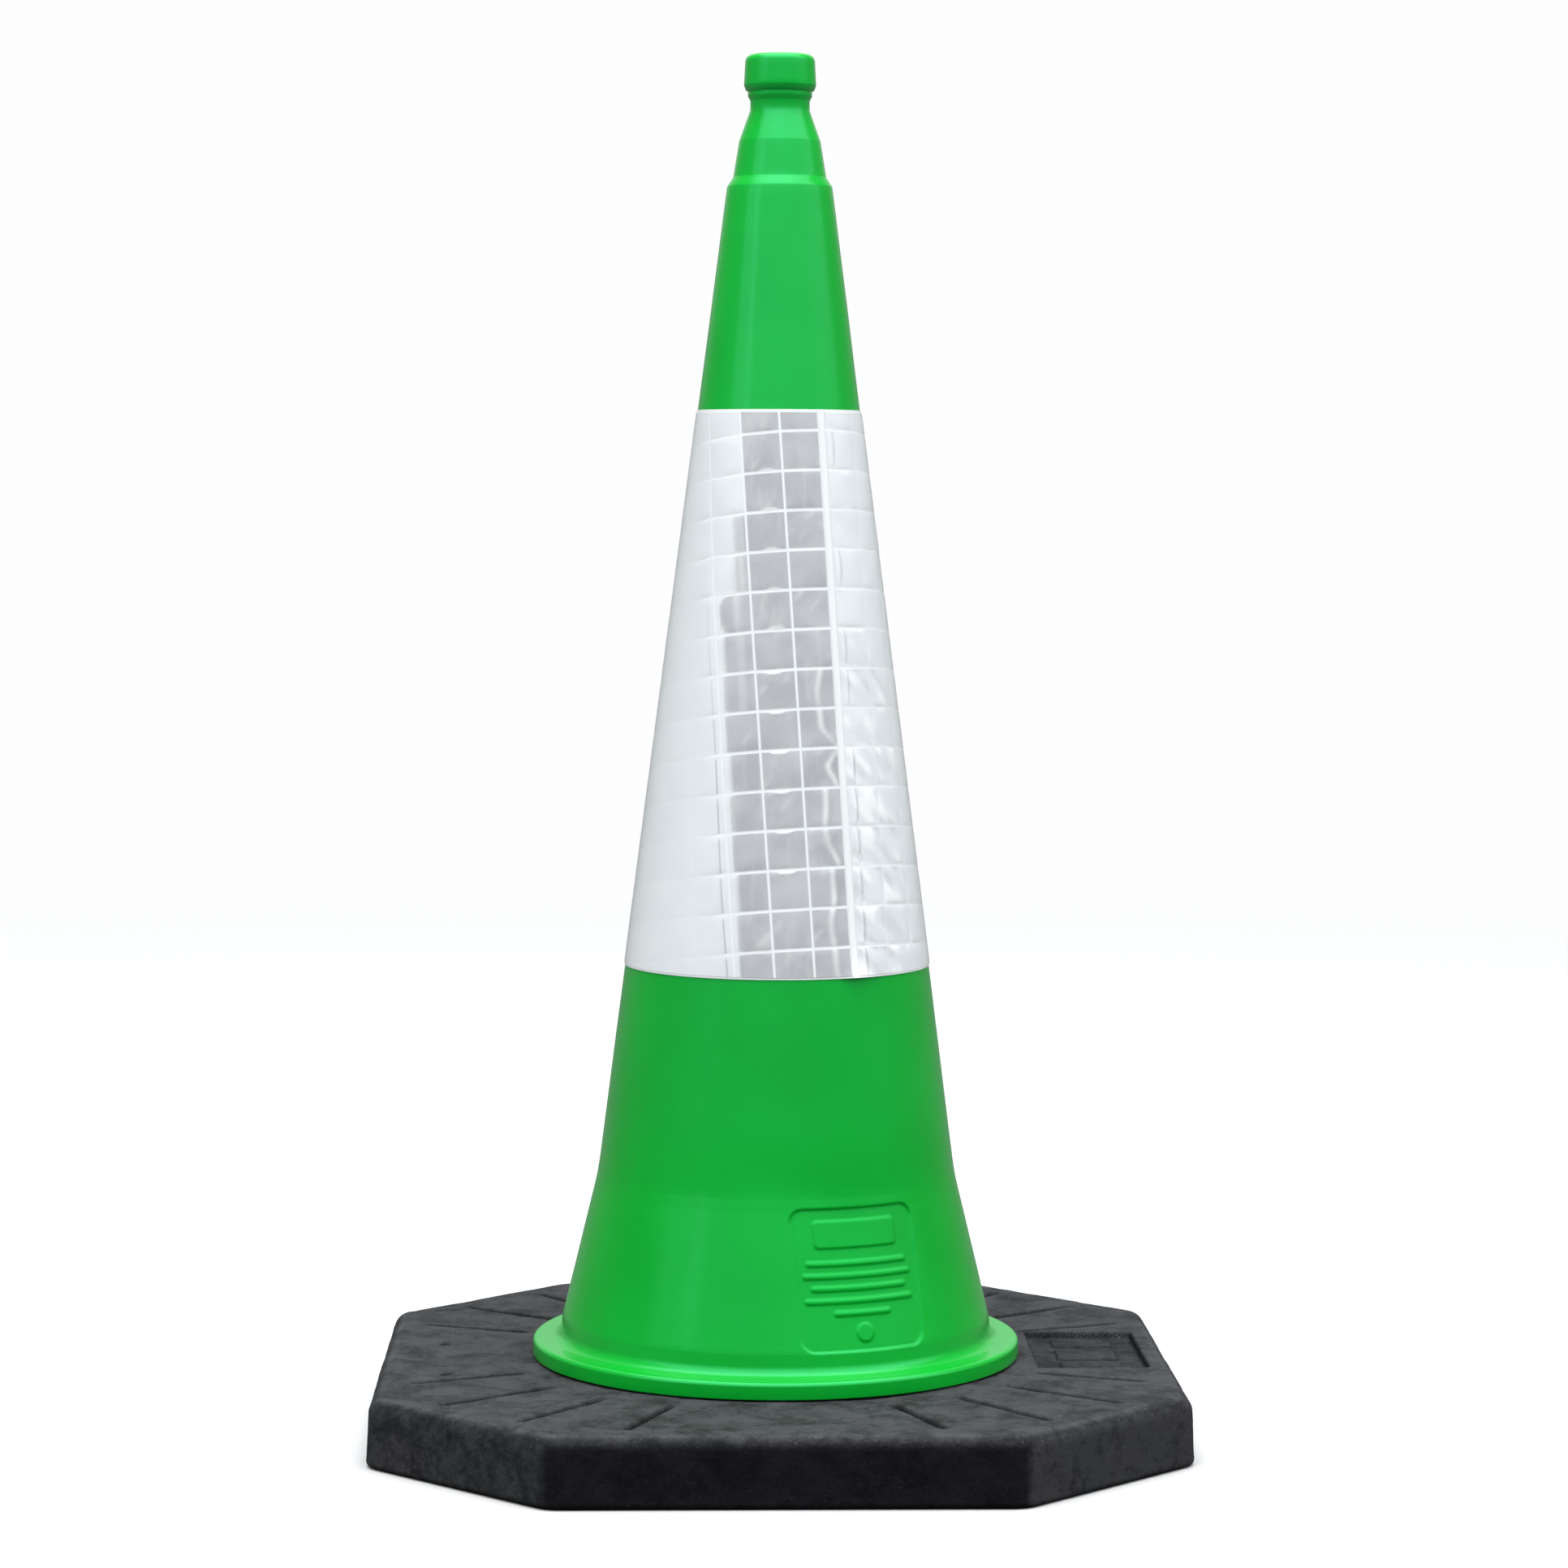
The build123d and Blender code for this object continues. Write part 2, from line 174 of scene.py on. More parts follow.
# Painted grey reflection of the prismatic cells: its cloudy ends, its streaks and its tone cell by cell
REFLECTION_GREY_DEEP, REFLECTION_GREY_LIGHT = (0.321, 0.330, 0.343, 1), (0.400, 0.409, 0.422, 1)
REFLECTION_GREY_STREAK, REFLECTION_GREY_CELL = (0.502, 0.512, 0.519, 1), (0.326, 0.335, 0.352, 1)
# Painted highlight on the facing's folds, wrinkles and glints, and the white of its welds
PAINTED_HIGHLIGHT_WHITE, WELD_WHITE = (0.670, 0.694, 0.700, 1), (0.633, 0.656, 0.668, 1)
# Painted shade in the facing's creases and wrinkles, beside its fold and along the seam's edge
PAINTED_SHADE_DARK = (0.16, 0.17, 0.18, 1)

# Studio: bearings in degrees from the front, and heights as the upward part of a direction
FLOOR_RADIUS = 12.0
FLOOR_BLEND = (2.2, 4.5)
FLOOR_SEEN, FLOOR_BOUNCE = (0.44, 0.44, 0.44, 1.0), (0.10, 0.10, 0.10, 1.0)
BACKDROP = (0.985, 0.988, 0.99, 1.0)
SKY_DIM, SKY_FRONT, SKY_UPPER, SKY_ZENITH = 0.28, 1.05, 1.40, 4.0
SKY_STREAK, SKY_BEHIND = 1.7, 0.4
SKY_COLOUR = (0.96, 0.98, 1.0, 1)
WINDOW_LEFT, WINDOW_RIGHT, BEHIND_FROM = (-75.5, -72.5), (92, 104), (135, 158)
STREAK_LEFT, STREAK_RIGHT, STREAK_TOP = (-56, -51), (-50, -44), (0.30, 0.50)
FRONT_FOOT, FRONT_TOP, BEHIND_FOOT, ZENITH_FROM = (0.13, 0.25), (0.36, 0.66), (0.06, 0.16), (0.72, 0.93)

# Steps round an arc in degrees, and the radius up to which an arc takes the larger step
ARC_STEP, SMALL_ARC_STEP, SMALL_ROUNDING = 8, 20, 2


# ---- node helpers

def new_material(name):
    """A material with an empty tree but for its Principled shader and output."""
    material = bpy.data.materials.new(name)
    material.use_nodes = True
    tree = material.node_tree
    return material, tree, tree.nodes["Principled BSDF"]


def set_inputs(tree, node, inputs):
    """Set or link a node's inputs."""
    for key, value in inputs.items():
        if isinstance(value, bpy.types.NodeSocket):
            tree.links.new(value, node.inputs[key])
        else:
            node.inputs[key].default_value = value


def add_node(tree, kind, inputs=None, **settings):
    """A node of one kind, with its settings and its inputs set or linked."""
    node = tree.nodes.new(kind)
    for key, value in settings.items():
        setattr(node, key, value)
    set_inputs(tree, node, inputs or {})
    return node


def maths(tree, operation, *values):
    """Output of a Math node."""
    return add_node(tree, "ShaderNodeMath", dict(enumerate(values)), operation=operation).outputs[0]


def times(tree, a, b):
    """Product of two values."""
    return maths(tree, "MULTIPLY", a, b)


def object_place(tree):
    """Place on the object, in metres."""
    return add_node(tree, "ShaderNodeTexCoord").outputs["Object"]


def ramp(tree, value, low, high, out_low=0.0, out_high=1.0):
    """Smooth step of value from low to high."""
    inputs = {"Value": value, "From Min": low, "From Max": high, "To Min": out_low, "To Max": out_high}
    node = add_node(tree, "ShaderNodeMapRange", inputs, interpolation_type="SMOOTHSTEP")
    return node.outputs["Result"]


def turn_ramp(tree, turn, limits, out_low=0.0, out_high=1.0):
    """Smooth step of an angle between two limits in degrees."""
    return ramp(tree, turn, math.radians(limits[0]), math.radians(limits[1]), out_low, out_high)


def noise_at(tree, vector, scale, detail, rough=0.55, distortion=0.0):
    """Noise between 0 and 1 at a place."""
    inputs = {"Vector": vector, "Scale": scale, "Detail": detail, "Roughness": rough,
              "Distortion": distortion}
    return add_node(tree, "ShaderNodeTexNoise", inputs).outputs["Fac"]


def mixed(tree, factor, a, b, blend="MIX"):
    """Colour mix of a and b."""
    inputs = {0: factor, 6: a, 7: b}
    return add_node(tree, "ShaderNodeMix", inputs, data_type="RGBA", blend_type=blend).outputs[2]


def bump(tree, height, strength, distance, normal=None):
    """Normal from a height."""
    inputs = {"Height": height, "Strength": strength, "Distance": distance}
    if normal is not None:
        inputs["Normal"] = normal
    return add_node(tree, "ShaderNodeBump", inputs).outputs["Normal"]


def attribute_value(tree, name):
    """A float attribute stored on the mesh."""
    return add_node(tree, "ShaderNodeAttribute", attribute_name=name).outputs["Fac"]


# ---- materials

def green_shell_material():
    """Self-coloured green polyethylene, faintly cloudy, glossy but duller on the flare, and lightened on its
    upper part as painted light.
    """
    material, tree, shader = new_material("green_polyethylene")
    where = object_place(tree)
    blotch = noise_at(tree, where, 9.0, 3.0)
    colour = mixed(tree, ramp(tree, blotch, 0.3, 0.7), GREEN_DEEP, GREEN_FRESH)
    height = add_node(tree, "ShaderNodeSeparateXYZ", {0: where}).outputs["Z"]
    # Painted light: the upper shell is lightened in colour
    colour = mixed(tree, ramp(tree, height, 0.45, 0.70), colour, GREEN_UPPER_PAINTED_LIGHT, "MULTIPLY")
    fine = noise_at(tree, where, 700.0, 2.0)
    dull_flare = times(tree, ramp(tree, height, 0.075, 0.085),
                       ramp(tree, height, 0.17, 0.25, 1.0, 0.0))
    set_inputs(tree, shader, {
        "Base Color": colour,
        "Roughness": ramp(tree, fine, 0.2, 0.8, 0.17, 0.27),
        "Normal": bump(tree, fine, 0.12, 0.0004),
        "Specular IOR Level": maths(tree, "MULTIPLY_ADD", dull_flare, -0.35, 0.78),
        "Specular Tint": GREEN_SHEEN})
    return material


def base_material():
    """Recycled charcoal plastic: dusty on top, scuffed along its edges, black with painted shade in its
    grooves, recess and dents, and lightened by streaky painted light on its side faces, most on the right.
    """
    material, tree, shader = new_material("recycled_pvc")
    where = object_place(tree)
    normal = add_node(tree, "ShaderNodeNewGeometry").outputs["Normal"]
    facing = add_node(tree, "ShaderNodeSeparateXYZ", {0: normal})
    up, sideways = facing.outputs["Z"], maths(tree, "ABSOLUTE", facing.outputs["X"])
    patches = noise_at(tree, where, 9.0, 5.0, 0.6, 0.5)
    mottle = noise_at(tree, where, 36.0, 9.0, 0.74, 0.3)
    streaks = add_node(tree, "ShaderNodeMapping",
                       {"Vector": where, "Rotation": (0, 0, 0.5), "Scale": (60.0, 210.0, 320.0)})
    streaks = noise_at(tree, streaks.outputs[0], 1.0, 5.0, 0.68, 0.2)
    crumbs = noise_at(tree, where, 120.0, 6.0, 0.8)
    speckle = noise_at(tree, where, 420.0, 3.0, 0.7)
    flecks = times(tree, ramp(tree, mottle, 0.34, 0.66, 0.46, 1.05),
                   ramp(tree, streaks, 0.36, 0.64, 0.76, 1.0))
    flecks = times(tree, flecks, ramp(tree, crumbs, 0.36, 0.64, 0.55, 1.38))
    bare = mixed(tree, flecks, BARE_BLACK, BARE_GREY)
    flat_on = times(tree, ramp(tree, up, 0.15, 0.85), ramp(tree, patches, 0.34, 0.62, 0.66, 1.0))
    # Painted light: the side faces are lightened with the dust colour, the right one most
    painted_side_light = maths(tree, "MAXIMUM", ramp(tree, sideways, 0.3, 0.8, 0.07, 1.2),
                     ramp(tree, facing.outputs["X"], 0.3, 0.8, 0.07, 1.9))
    # Painted shade in the hollows keeps the dust and worn edges off them, leaving bare black
    unshaded = maths(tree, "MULTIPLY_ADD", attribute_value(tree, "hollow_shade"), -1.0, 1.0)
    # Dust on top and painted light on the sides share one mask, kept out of the hollows' painted shade
    dust_and_side_light = times(tree, maths(tree, "MAXIMUM", flat_on, painted_side_light), unshaded)
    dust_and_side_light = times(tree, dust_and_side_light, flecks)
    grime_and_side_light = mixed(tree, ramp(tree, patches, 0.35, 0.60), GRIME_AND_SIDE_LIGHT_COOL, GRIME_AND_SIDE_LIGHT_WARM)
    colour = mixed(tree, dust_and_side_light, bare, grime_and_side_light)
    worn = times(tree, attribute_value(tree, "edge"), ramp(tree, mottle, 0.36, 0.62, 0.25, 1.0))
    colour = mixed(tree, times(tree, worn, unshaded), colour, WORN_EDGE)
    chips = times(tree, ramp(tree, speckle, 0.62, 0.74, 0.0, 0.4),
                  maths(tree, "MAXIMUM", flat_on, 0.2))
    colour = mixed(tree, chips, colour, CHIP)
    grain = bump(tree, noise_at(tree, where, 260.0, 6.0, 0.7), 0.8, 0.0014)
    set_inputs(tree, shader, {
        "Base Color": colour,
        "Roughness": ramp(tree, mottle, 0.3, 0.7, 0.62, 0.92),
        "Normal": bump(tree, mottle, 0.35, 0.003, grain),
        "Specular IOR Level": 0.04})
    return material


def white_film_material():
    """White PVC film."""
    material, tree, shader = new_material("white_pvc_film")
    where = object_place(tree)
    cloud = noise_at(tree, where, 14.0, 3.0)
    set_inputs(tree, shader, {"Base Color": mixed(tree, cloud, WHITE_DULL, WHITE_CLEAN), "Roughness": 0.3})
    return material


def prismatic_film_material():
    """Clear prismatic facing on white: white weld lines, cells that look white or carry a painted grey
    reflection, and painted highlights and shade.
    """
    material, tree, shader = new_material("prismatic_film")
    where = object_place(tree)
    weld, reflected_grey, tone, painted_highlight, painted_shade = (attribute_value(tree, name)
                                      for name in ("weld", "reflected_grey", "cell_tone", "painted_highlight", "painted_shade"))
    cloud = noise_at(tree, where, 34.0, 4.0)
    stretched = add_node(tree, "ShaderNodeMapping", {"Vector": where, "Scale": (90.0, 90.0, 16.0)}).outputs[0]
    streaks = noise_at(tree, stretched, 1.0, 3.0)
    pale = mixed(tree, cloud, FACING_DULL, FACING_CLEAN)
    # The grey is a painted reflection, clouded, streaked and toned cell by cell
    reflection_grey_colour = mixed(tree, ramp(tree, cloud, 0.3, 0.7), REFLECTION_GREY_DEEP, REFLECTION_GREY_LIGHT)
    reflection_grey_colour = mixed(tree, ramp(tree, streaks, 0.50, 0.80, 0.0, 0.5), reflection_grey_colour, REFLECTION_GREY_STREAK)
    reflection_grey_colour = mixed(tree, times(tree, tone, 0.4), reflection_grey_colour, REFLECTION_GREY_CELL)
    colour = mixed(tree, reflected_grey, pale, reflection_grey_colour)
    # Painted highlights, the white welds, then painted shade
    colour = mixed(tree, painted_highlight, colour, PAINTED_HIGHLIGHT_WHITE)
    colour = mixed(tree, weld, colour, WELD_WHITE)
    colour = mixed(tree, times(tree, painted_shade, 0.62), colour, PAINTED_SHADE_DARK)
    fine = noise_at(tree, where, 240.0, 2.0)
    set_inputs(tree, shader, {
        "Base Color": colour,
        "Roughness": ramp(tree, fine, 0.2, 0.8, 0.12, 0.24),
        "Normal": bump(tree, fine, 0.08, 0.0005)})
    return material


# ---- studio

def make_camera():
    """Camera at the reference viewing angle."""
    data = bpy.data.cameras.new("camera")
    data.lens = CAMERA_LENS
    data.sensor_width = SENSOR_WIDTH
    data.clip_end = 100.0
    camera = bpy.data.objects.new("camera", data)
    bpy.context.scene.collection.objects.link(camera)
    turn = Matrix.Rotation(CAMERA_YAW, 4, "Z")
    place = turn @ Matrix.Translation((CAMERA_SIDE, -CAMERA_DISTANCE, CAMERA_HEIGHT))
    tilt = Matrix.Rotation(math.pi / 2 - CAMERA_PITCH_DOWN, 4, "X") @ Matrix.Rotation(CAMERA_ROLL, 4, "Z")
    camera.matrix_world = place @ tilt
    bpy.context.scene.camera = camera


def make_floor():
    """Pale round floor that fades into the backdrop's colour away from the object."""
    mesh = bpy.data.meshes.new("floor")
    shape = bmesh.new()
    bmesh.ops.create_circle(shape, cap_ends=True, segments=96, radius=FLOOR_RADIUS)
    shape.to_mesh(mesh)
    shape.free()
    floor = bpy.data.objects.new("floor", mesh)
    bpy.context.scene.collection.objects.link(floor)
    material, tree, shader = new_material("pale_floor")
    seen = add_node(tree, "ShaderNodeLightPath").outputs["Is Camera Ray"]
    set_inputs(tree, shader, {"Base Color": mixed(tree, seen, FLOOR_BOUNCE, FLOOR_SEEN),
                              "Roughness": 0.9, "Specular IOR Level": 0.1})
    where = object_place(tree)
    reach = add_node(tree, "ShaderNodeVectorMath", {0: where}, operation="LENGTH").outputs["Value"]
    fade = times(tree, ramp(tree, reach, *FLOOR_BLEND), seen)
    glow = add_node(tree, "ShaderNodeEmission", {"Color": BACKDROP, "Strength": 1.0})
    blend = add_node(tree, "ShaderNodeMixShader", {0: fade, 1: shader.outputs[0], 2: glow.outputs[0]})
    tree.links.new(blend.outputs[0], tree.nodes["Material Output"].inputs["Surface"])
    mesh.materials.append(material)


def make_world():
    """Plain backdrop to look at, and a soft sky that is dim near the horizon to light with."""
    world = bpy.data.worlds.new("studio")
    world.use_nodes = True
    bpy.context.scene.world = world
    tree = world.node_tree
    tree.nodes.clear()
    direction = add_node(tree, "ShaderNodeTexCoord").outputs["Generated"]
    xyz = add_node(tree, "ShaderNodeSeparateXYZ", {0: direction})
    height = xyz.outputs["Z"]
    turn = maths(tree, "ARCTAN2", xyz.outputs["X"], times(tree, xyz.outputs["Y"], -1.0))
    window = times(tree, turn_ramp(tree, turn, WINDOW_LEFT),
                   turn_ramp(tree, turn, WINDOW_RIGHT, 1.0, 0.0))
    streak = times(tree, turn_ramp(tree, turn, STREAK_LEFT),
                   turn_ramp(tree, turn, STREAK_RIGHT, SKY_STREAK, 0.0))
    streak = times(tree, streak, ramp(tree, height, *STREAK_TOP, 1.0, 0.0))
    front = maths(tree, "ADD", ramp(tree, height, *FRONT_TOP, SKY_FRONT, SKY_FRONT + SKY_UPPER), streak)
    front = times(tree, times(tree, front, window), ramp(tree, height, *FRONT_FOOT))
    behind = times(tree, turn_ramp(tree, maths(tree, "ABSOLUTE", turn), BEHIND_FROM),
                   ramp(tree, height, *BEHIND_FOOT, 0.0, SKY_BEHIND))
    zenith = ramp(tree, height, *ZENITH_FROM, 0.0, SKY_ZENITH - SKY_DIM)
    sky_strength = maths(tree, "MAXIMUM", maths(tree, "MAXIMUM", front, behind), zenith)
    sky_strength = maths(tree, "ADD", sky_strength, SKY_DIM)
    sky = add_node(tree, "ShaderNodeBackground", {"Color": SKY_COLOUR, "Strength": sky_strength})
    plain = add_node(tree, "ShaderNodeBackground", {"Color": BACKDROP, "Strength": 1.0})
    seen = add_node(tree, "ShaderNodeLightPath").outputs["Is Camera Ray"]
    blend = add_node(tree, "ShaderNodeMixShader", {0: seen, 1: sky.outputs[0], 2: plain.outputs[0]})
    output = add_node(tree, "ShaderNodeOutputWorld")
    tree.links.new(blend.outputs[0], output.inputs["Surface"])


def add_softbox(name, place, target, size, power, reflected=True):
    """Rectangular area light aimed at a point, seen in reflections or not."""
    data = bpy.data.lights.new(name, "AREA")
    data.shape = "RECTANGLE"
    data.size, data.size_y = size
    data.energy = power
    light = bpy.data.objects.new(name, data)
    bpy.context.scene.collection.objects.link(light)
    light.location = place
    light.visible_glossy = reflected
    light.rotation_euler = (Vector(target) - Vector(place)).to_track_quat("-Z", "Y").to_euler()


def make_lights():
    """Large soft light high in front, one overhead, and a fill from each side."""
    add_softbox("key_softbox", (-0.6, -3.2, 3.8), (0, 0, 0.5), (3.0, 2.4), 8.5)
    add_softbox("top_fill", (0, -0.3, 4.2), (0, 0, 0), (2.4, 2.4), 130.0, False)
    add_softbox("left_fill", (-3.0, -1.0, 1.4), (0, 0, 0.5), (1.8, 1.8), 27.0, False)
    add_softbox("right_fill", (3.0, -1.0, 1.4), (0, 0, 0.5), (1.8, 1.8), 23.0, False)


# ---- mesh helpers

def mesh_object(name, points, faces, attributes=None):
    """A smooth-shaded mesh object from points in millimetres, with optional float attributes on them."""
    mesh = bpy.data.meshes.new(name)
    mesh.from_pydata((np.asarray(points) * MM).tolist(), [], faces)
    for key, values in (attributes or {}).items():
        layer = mesh.attributes.new(key, "FLOAT", "POINT")
        layer.data.foreach_set("value", np.asarray(values, dtype=np.float32))
    mesh.polygons.foreach_set("use_smooth", [True] * len(mesh.polygons))
    mesh.update()
    piece = bpy.data.objects.new(name, mesh)
    bpy.context.scene.collection.objects.link(piece)
    return piece


def welded(piece, closed=True):
    """Merge doubled points, drop closed-up faces, turn faces outwards, and sharpen an open sheet's rims."""
    shape = bmesh.new()
    shape.from_mesh(piece.data)
    bmesh.ops.remove_doubles(shape, verts=shape.verts, dist=WELD_DISTANCE)
    bmesh.ops.dissolve_degenerate(shape, edges=shape.edges, dist=WELD_DISTANCE)
    loose = [v for v in shape.verts if not v.link_faces]
    bmesh.ops.delete(shape, geom=loose, context="VERTS")
    bmesh.ops.recalc_face_normals(shape, faces=shape.faces)
    if not closed and sum(f.normal.xy.dot(f.calc_center_median().xy) for f in shape.faces) < 0:
        bmesh.ops.reverse_faces(shape, faces=shape.faces)
    for edge in shape.edges:
        edge.smooth = not edge.is_boundary
    shape.to_mesh(piece.data)
    shape.free()


def smooth(value, low, high):
    """Smooth step from 0 at low to 1 at high, for numbers or arrays."""
    share = np.clip((value - low) / (high - low), 0.0, 1.0)
    return share * share * (3 - 2 * share)


def hump(value, centre, half_width):
    """1 at the centre, falling smoothly to nearly 0 over a few half widths."""
    return np.exp(-((value - centre) / half_width) ** 2)


def fixed_random(a, b, c):
    """A number from 0 to 1 that looks random and is fixed by the three given."""
    value = np.sin(a * 127.1 + b * 311.7 + c * 74.7) * 43758.5453
    return value - np.floor(value)


def noise_of(x, y, z, size, seed=0.0):
    """Smooth noise from -1 to 1 at arrays of places in millimetres."""
    place = np.stack([x / size + 0.37 + seed, y / size + 0.71, z / size + 0.13])
    cell = np.floor(place)
    part = smooth(place - cell, 0.0, 1.0)
    total = np.zeros(place.shape[1:])
    for corner in np.ndindex(2, 2, 2):
        share = np.ones(place.shape[1:])
        for axis in range(3):
            share = share * (part[axis] if corner[axis] else 1 - part[axis])
        total += share * fixed_random(*(cell[axis] + corner[axis] for axis in range(3)))
    return 2 * total - 1


def layered_noise(place, layers):
    """Sum of noises at a place, from layers of (height, size, seed)."""
    return sum(height * noise_of(*place, size, seed) for height, size, seed in layers)


def around(radius, bearing):
    """Places x and y at a distance from the axis and a bearing in degrees."""
    return radius * np.cos(np.radians(bearing)), radius * np.sin(np.radians(bearing))


def angle_between(a, b):
    """Size of the angle between two bearings, in degrees."""
    return abs((a - b + 180) % 360 - 180)


def edge_distance(x, y, half, corner):
    """Signed distance to a rounded rectangle about the origin, negative inside."""
    past_x = np.abs(x) - (half[0] - corner)
    past_y = np.abs(y) - (half[1] - corner)
    outside = np.hypot(np.maximum(past_x, 0), np.maximum(past_y, 0))
    return outside + np.minimum(np.maximum(past_x, past_y), 0) - corner


def rounded_outline(corners):
    """Points of an open outline whose corners are (radius, height, rounding), with arcs at the roundings."""
    points = []
    for i, (radius, height, rounding) in enumerate(corners):
        here = Vector((radius, height))
        if not rounding or i in (0, len(corners) - 1):
            points.append(here)
            continue
        back = (Vector(corners[i - 1][:2]) - here).normalized()
        ahead = (Vector(corners[i + 1][:2]) - here).normalized()
        half = back.angle(ahead) / 2
        centre = here + (back + ahead).normalized() * rounding / math.sin(half)
        start = here + back * rounding / math.tan(half) - centre
        turn = start.angle_signed(here + ahead * rounding / math.tan(half) - centre)
        arc_step = ARC_STEP if rounding > SMALL_ROUNDING else SMALL_ARC_STEP
        steps = max(2, round(abs(turn) / math.radians(arc_step)))
        for k in range(steps + 1):
            points.append(centre + Matrix.Rotation(-turn * k / steps, 2) @ start)
    return points


def divided(points, step_at):
    """The outline with long stretches divided into steps no longer than step_at(height)."""
    result = [points[0]]
    for a, b in zip(points, points[1:]):
        length = (b - a).length
        z, end = a.y, b.y
        count = max(1, math.ceil(length / min(step_at(z), step_at(end), step_at((z + end) / 2))))
        result += [a.lerp(b, k / count) for k in range(1, count + 1)]
    return result


def ring_faces(rows, columns, left_out=frozenset()):
    """Quads of a grid that closes both round the axis and along the section."""
    faces = []
    for r in range(rows):
        for c in range(columns):
            if (r, c) not in left_out:
                here, below, beside = r * columns, (r + 1) % rows * columns, (c + 1) % columns
                faces.append((here + c, here + beside, below + beside, below + c))
    return faces


def bearings(step, fine_sets):
    """Sorted bearings in degrees: an even step, with finer sets (centre, half, step) in its place."""
    angles = list(np.arange(-180.0, 180.0, step))
    for centre, half, fine in fine_sets:
        angles = [a for a in angles if angle_between(a, centre) > half + 0.3 * fine]
        count = max(1, round(2 * half / fine))
        angles += [(centre - half + 2 * half * k / count + 180) % 360 - 180 for k in range(count + 1)]
    return np.array(sorted(angles))


# ---- green shell

def plate_relief(bearing, radius, z):
    """Depth of the nameplate's recess and height of its plain marks, in millimetres."""
    turn = np.radians(bearing - PLATE_BEARING)
    across = radius * np.sin(turn)
    up = z - PLATE_Z
    facing = np.cos(turn) > 0
    relief = -PLATE_DEPTH * (1 - smooth(edge_distance(across, up, PLATE_HALF, PLATE_CORNER), -0.8, 0.4))
    marks = [PLATE_PANEL, PLATE_STUD]
    marks += [(FIRST_BAR - i * BAR_PITCH, length / 2, BAR_HALF_HEIGHT, BAR_CORNER)
              for i, length in enumerate(BAR_LENGTHS)]
    for middle, half_width, half_height, corner in marks:
        distance = edge_distance(across, up - middle, (half_width, half_height), corner)
        relief += MARK_RELIEF * (1 - smooth(distance, -0.7, 0.5))
    return relief * facing


def shell_section():
    """The shell's section, once round: its outside, underside, skirt and inside."""
    def step_at(z):
        """Longest step between rows at a height."""
        if abs(z - PLATE_Z) < PLATE_HALF[1] + 2:
            return PLATE_ROW_STEP
        return TAPER_ROW_STEP if z < TAPER_TOP[1] + 1 else HEAD_ROW_STEP

    outside = divided(rounded_outline(OUTSIDE + UNDERSIDE[:1]), step_at)[:-1]
    under = divided(rounded_outline(OUTSIDE[-1:] + UNDERSIDE), lambda z: UNDER_ROW_STEP)[1:]
    skirt = [Vector((SKIRT_OUTSIDE, z)) for z in SKIRT_LEVELS]
    skirt += [Vector((SKIRT_INSIDE, z)) for z in reversed(SKIRT_LEVELS)]
    inner = rounded_outline(((SKIRT_INSIDE, 50.0, 0.0),) + INSIDE + OUTSIDE[:1])[1:-1]
    return outside, under, skirt, divided(inner, lambda z: INNER_ROW_STEP)


def shell_columns():
    """Bearings of the shell's mesh, closer together at the nameplate, the lugs' ends and the slots."""
    fine = [(PLATE_BEARING, PLATE_FINE_ARC, PLATE_COLUMN_STEP)]
    for i in range(LUG_COUNT):
        lug = i * 360 / LUG_COUNT
        places = [(lug - LUG_HALF_ARC, 0.1, 0.2), (lug + LUG_HALF_ARC, 0.1, 0.2),
                  (lug + 180 / LUG_COUNT, SLOT_HALF_ARC, 2 * SLOT_HALF_ARC)]
        fine += [place for place in places if angle_between(place[0], PLATE_BEARING) > PLATE_FINE_ARC + 1]
    return bearings(SHELL_COLUMN_STEP, fine)


def slot_faces(columns, top_row, last_row):
    """Quads to leave out of the skirt for its slots, and quads for the slots' walls."""
    count = len(columns)
    from_slot = np.abs(columns % (360 / LUG_COUNT) - 180 / LUG_COUNT)
    in_slot = from_slot < SLOT_HALF_ARC + 0.01
    left_out, walls = set(), []
    for c in range(count):
        beside = (c + 1) % count
        if in_slot[c] and in_slot[beside]:
            left_out |= {(r, c) for r in range(top_row, last_row)}
            top, last = top_row * count, last_row * count
            walls.append((top + c, top + beside, last + beside, last + c))
        elif in_slot[c] or in_slot[beside]:
            edge = c if in_slot[c] else beside
            for k in range((last_row - top_row) // 2):
                a, b = (top_row + k) * count + edge, (last_row - k) * count + edge
                walls.append((a, a + count, b - count, b))
    return left_out, walls


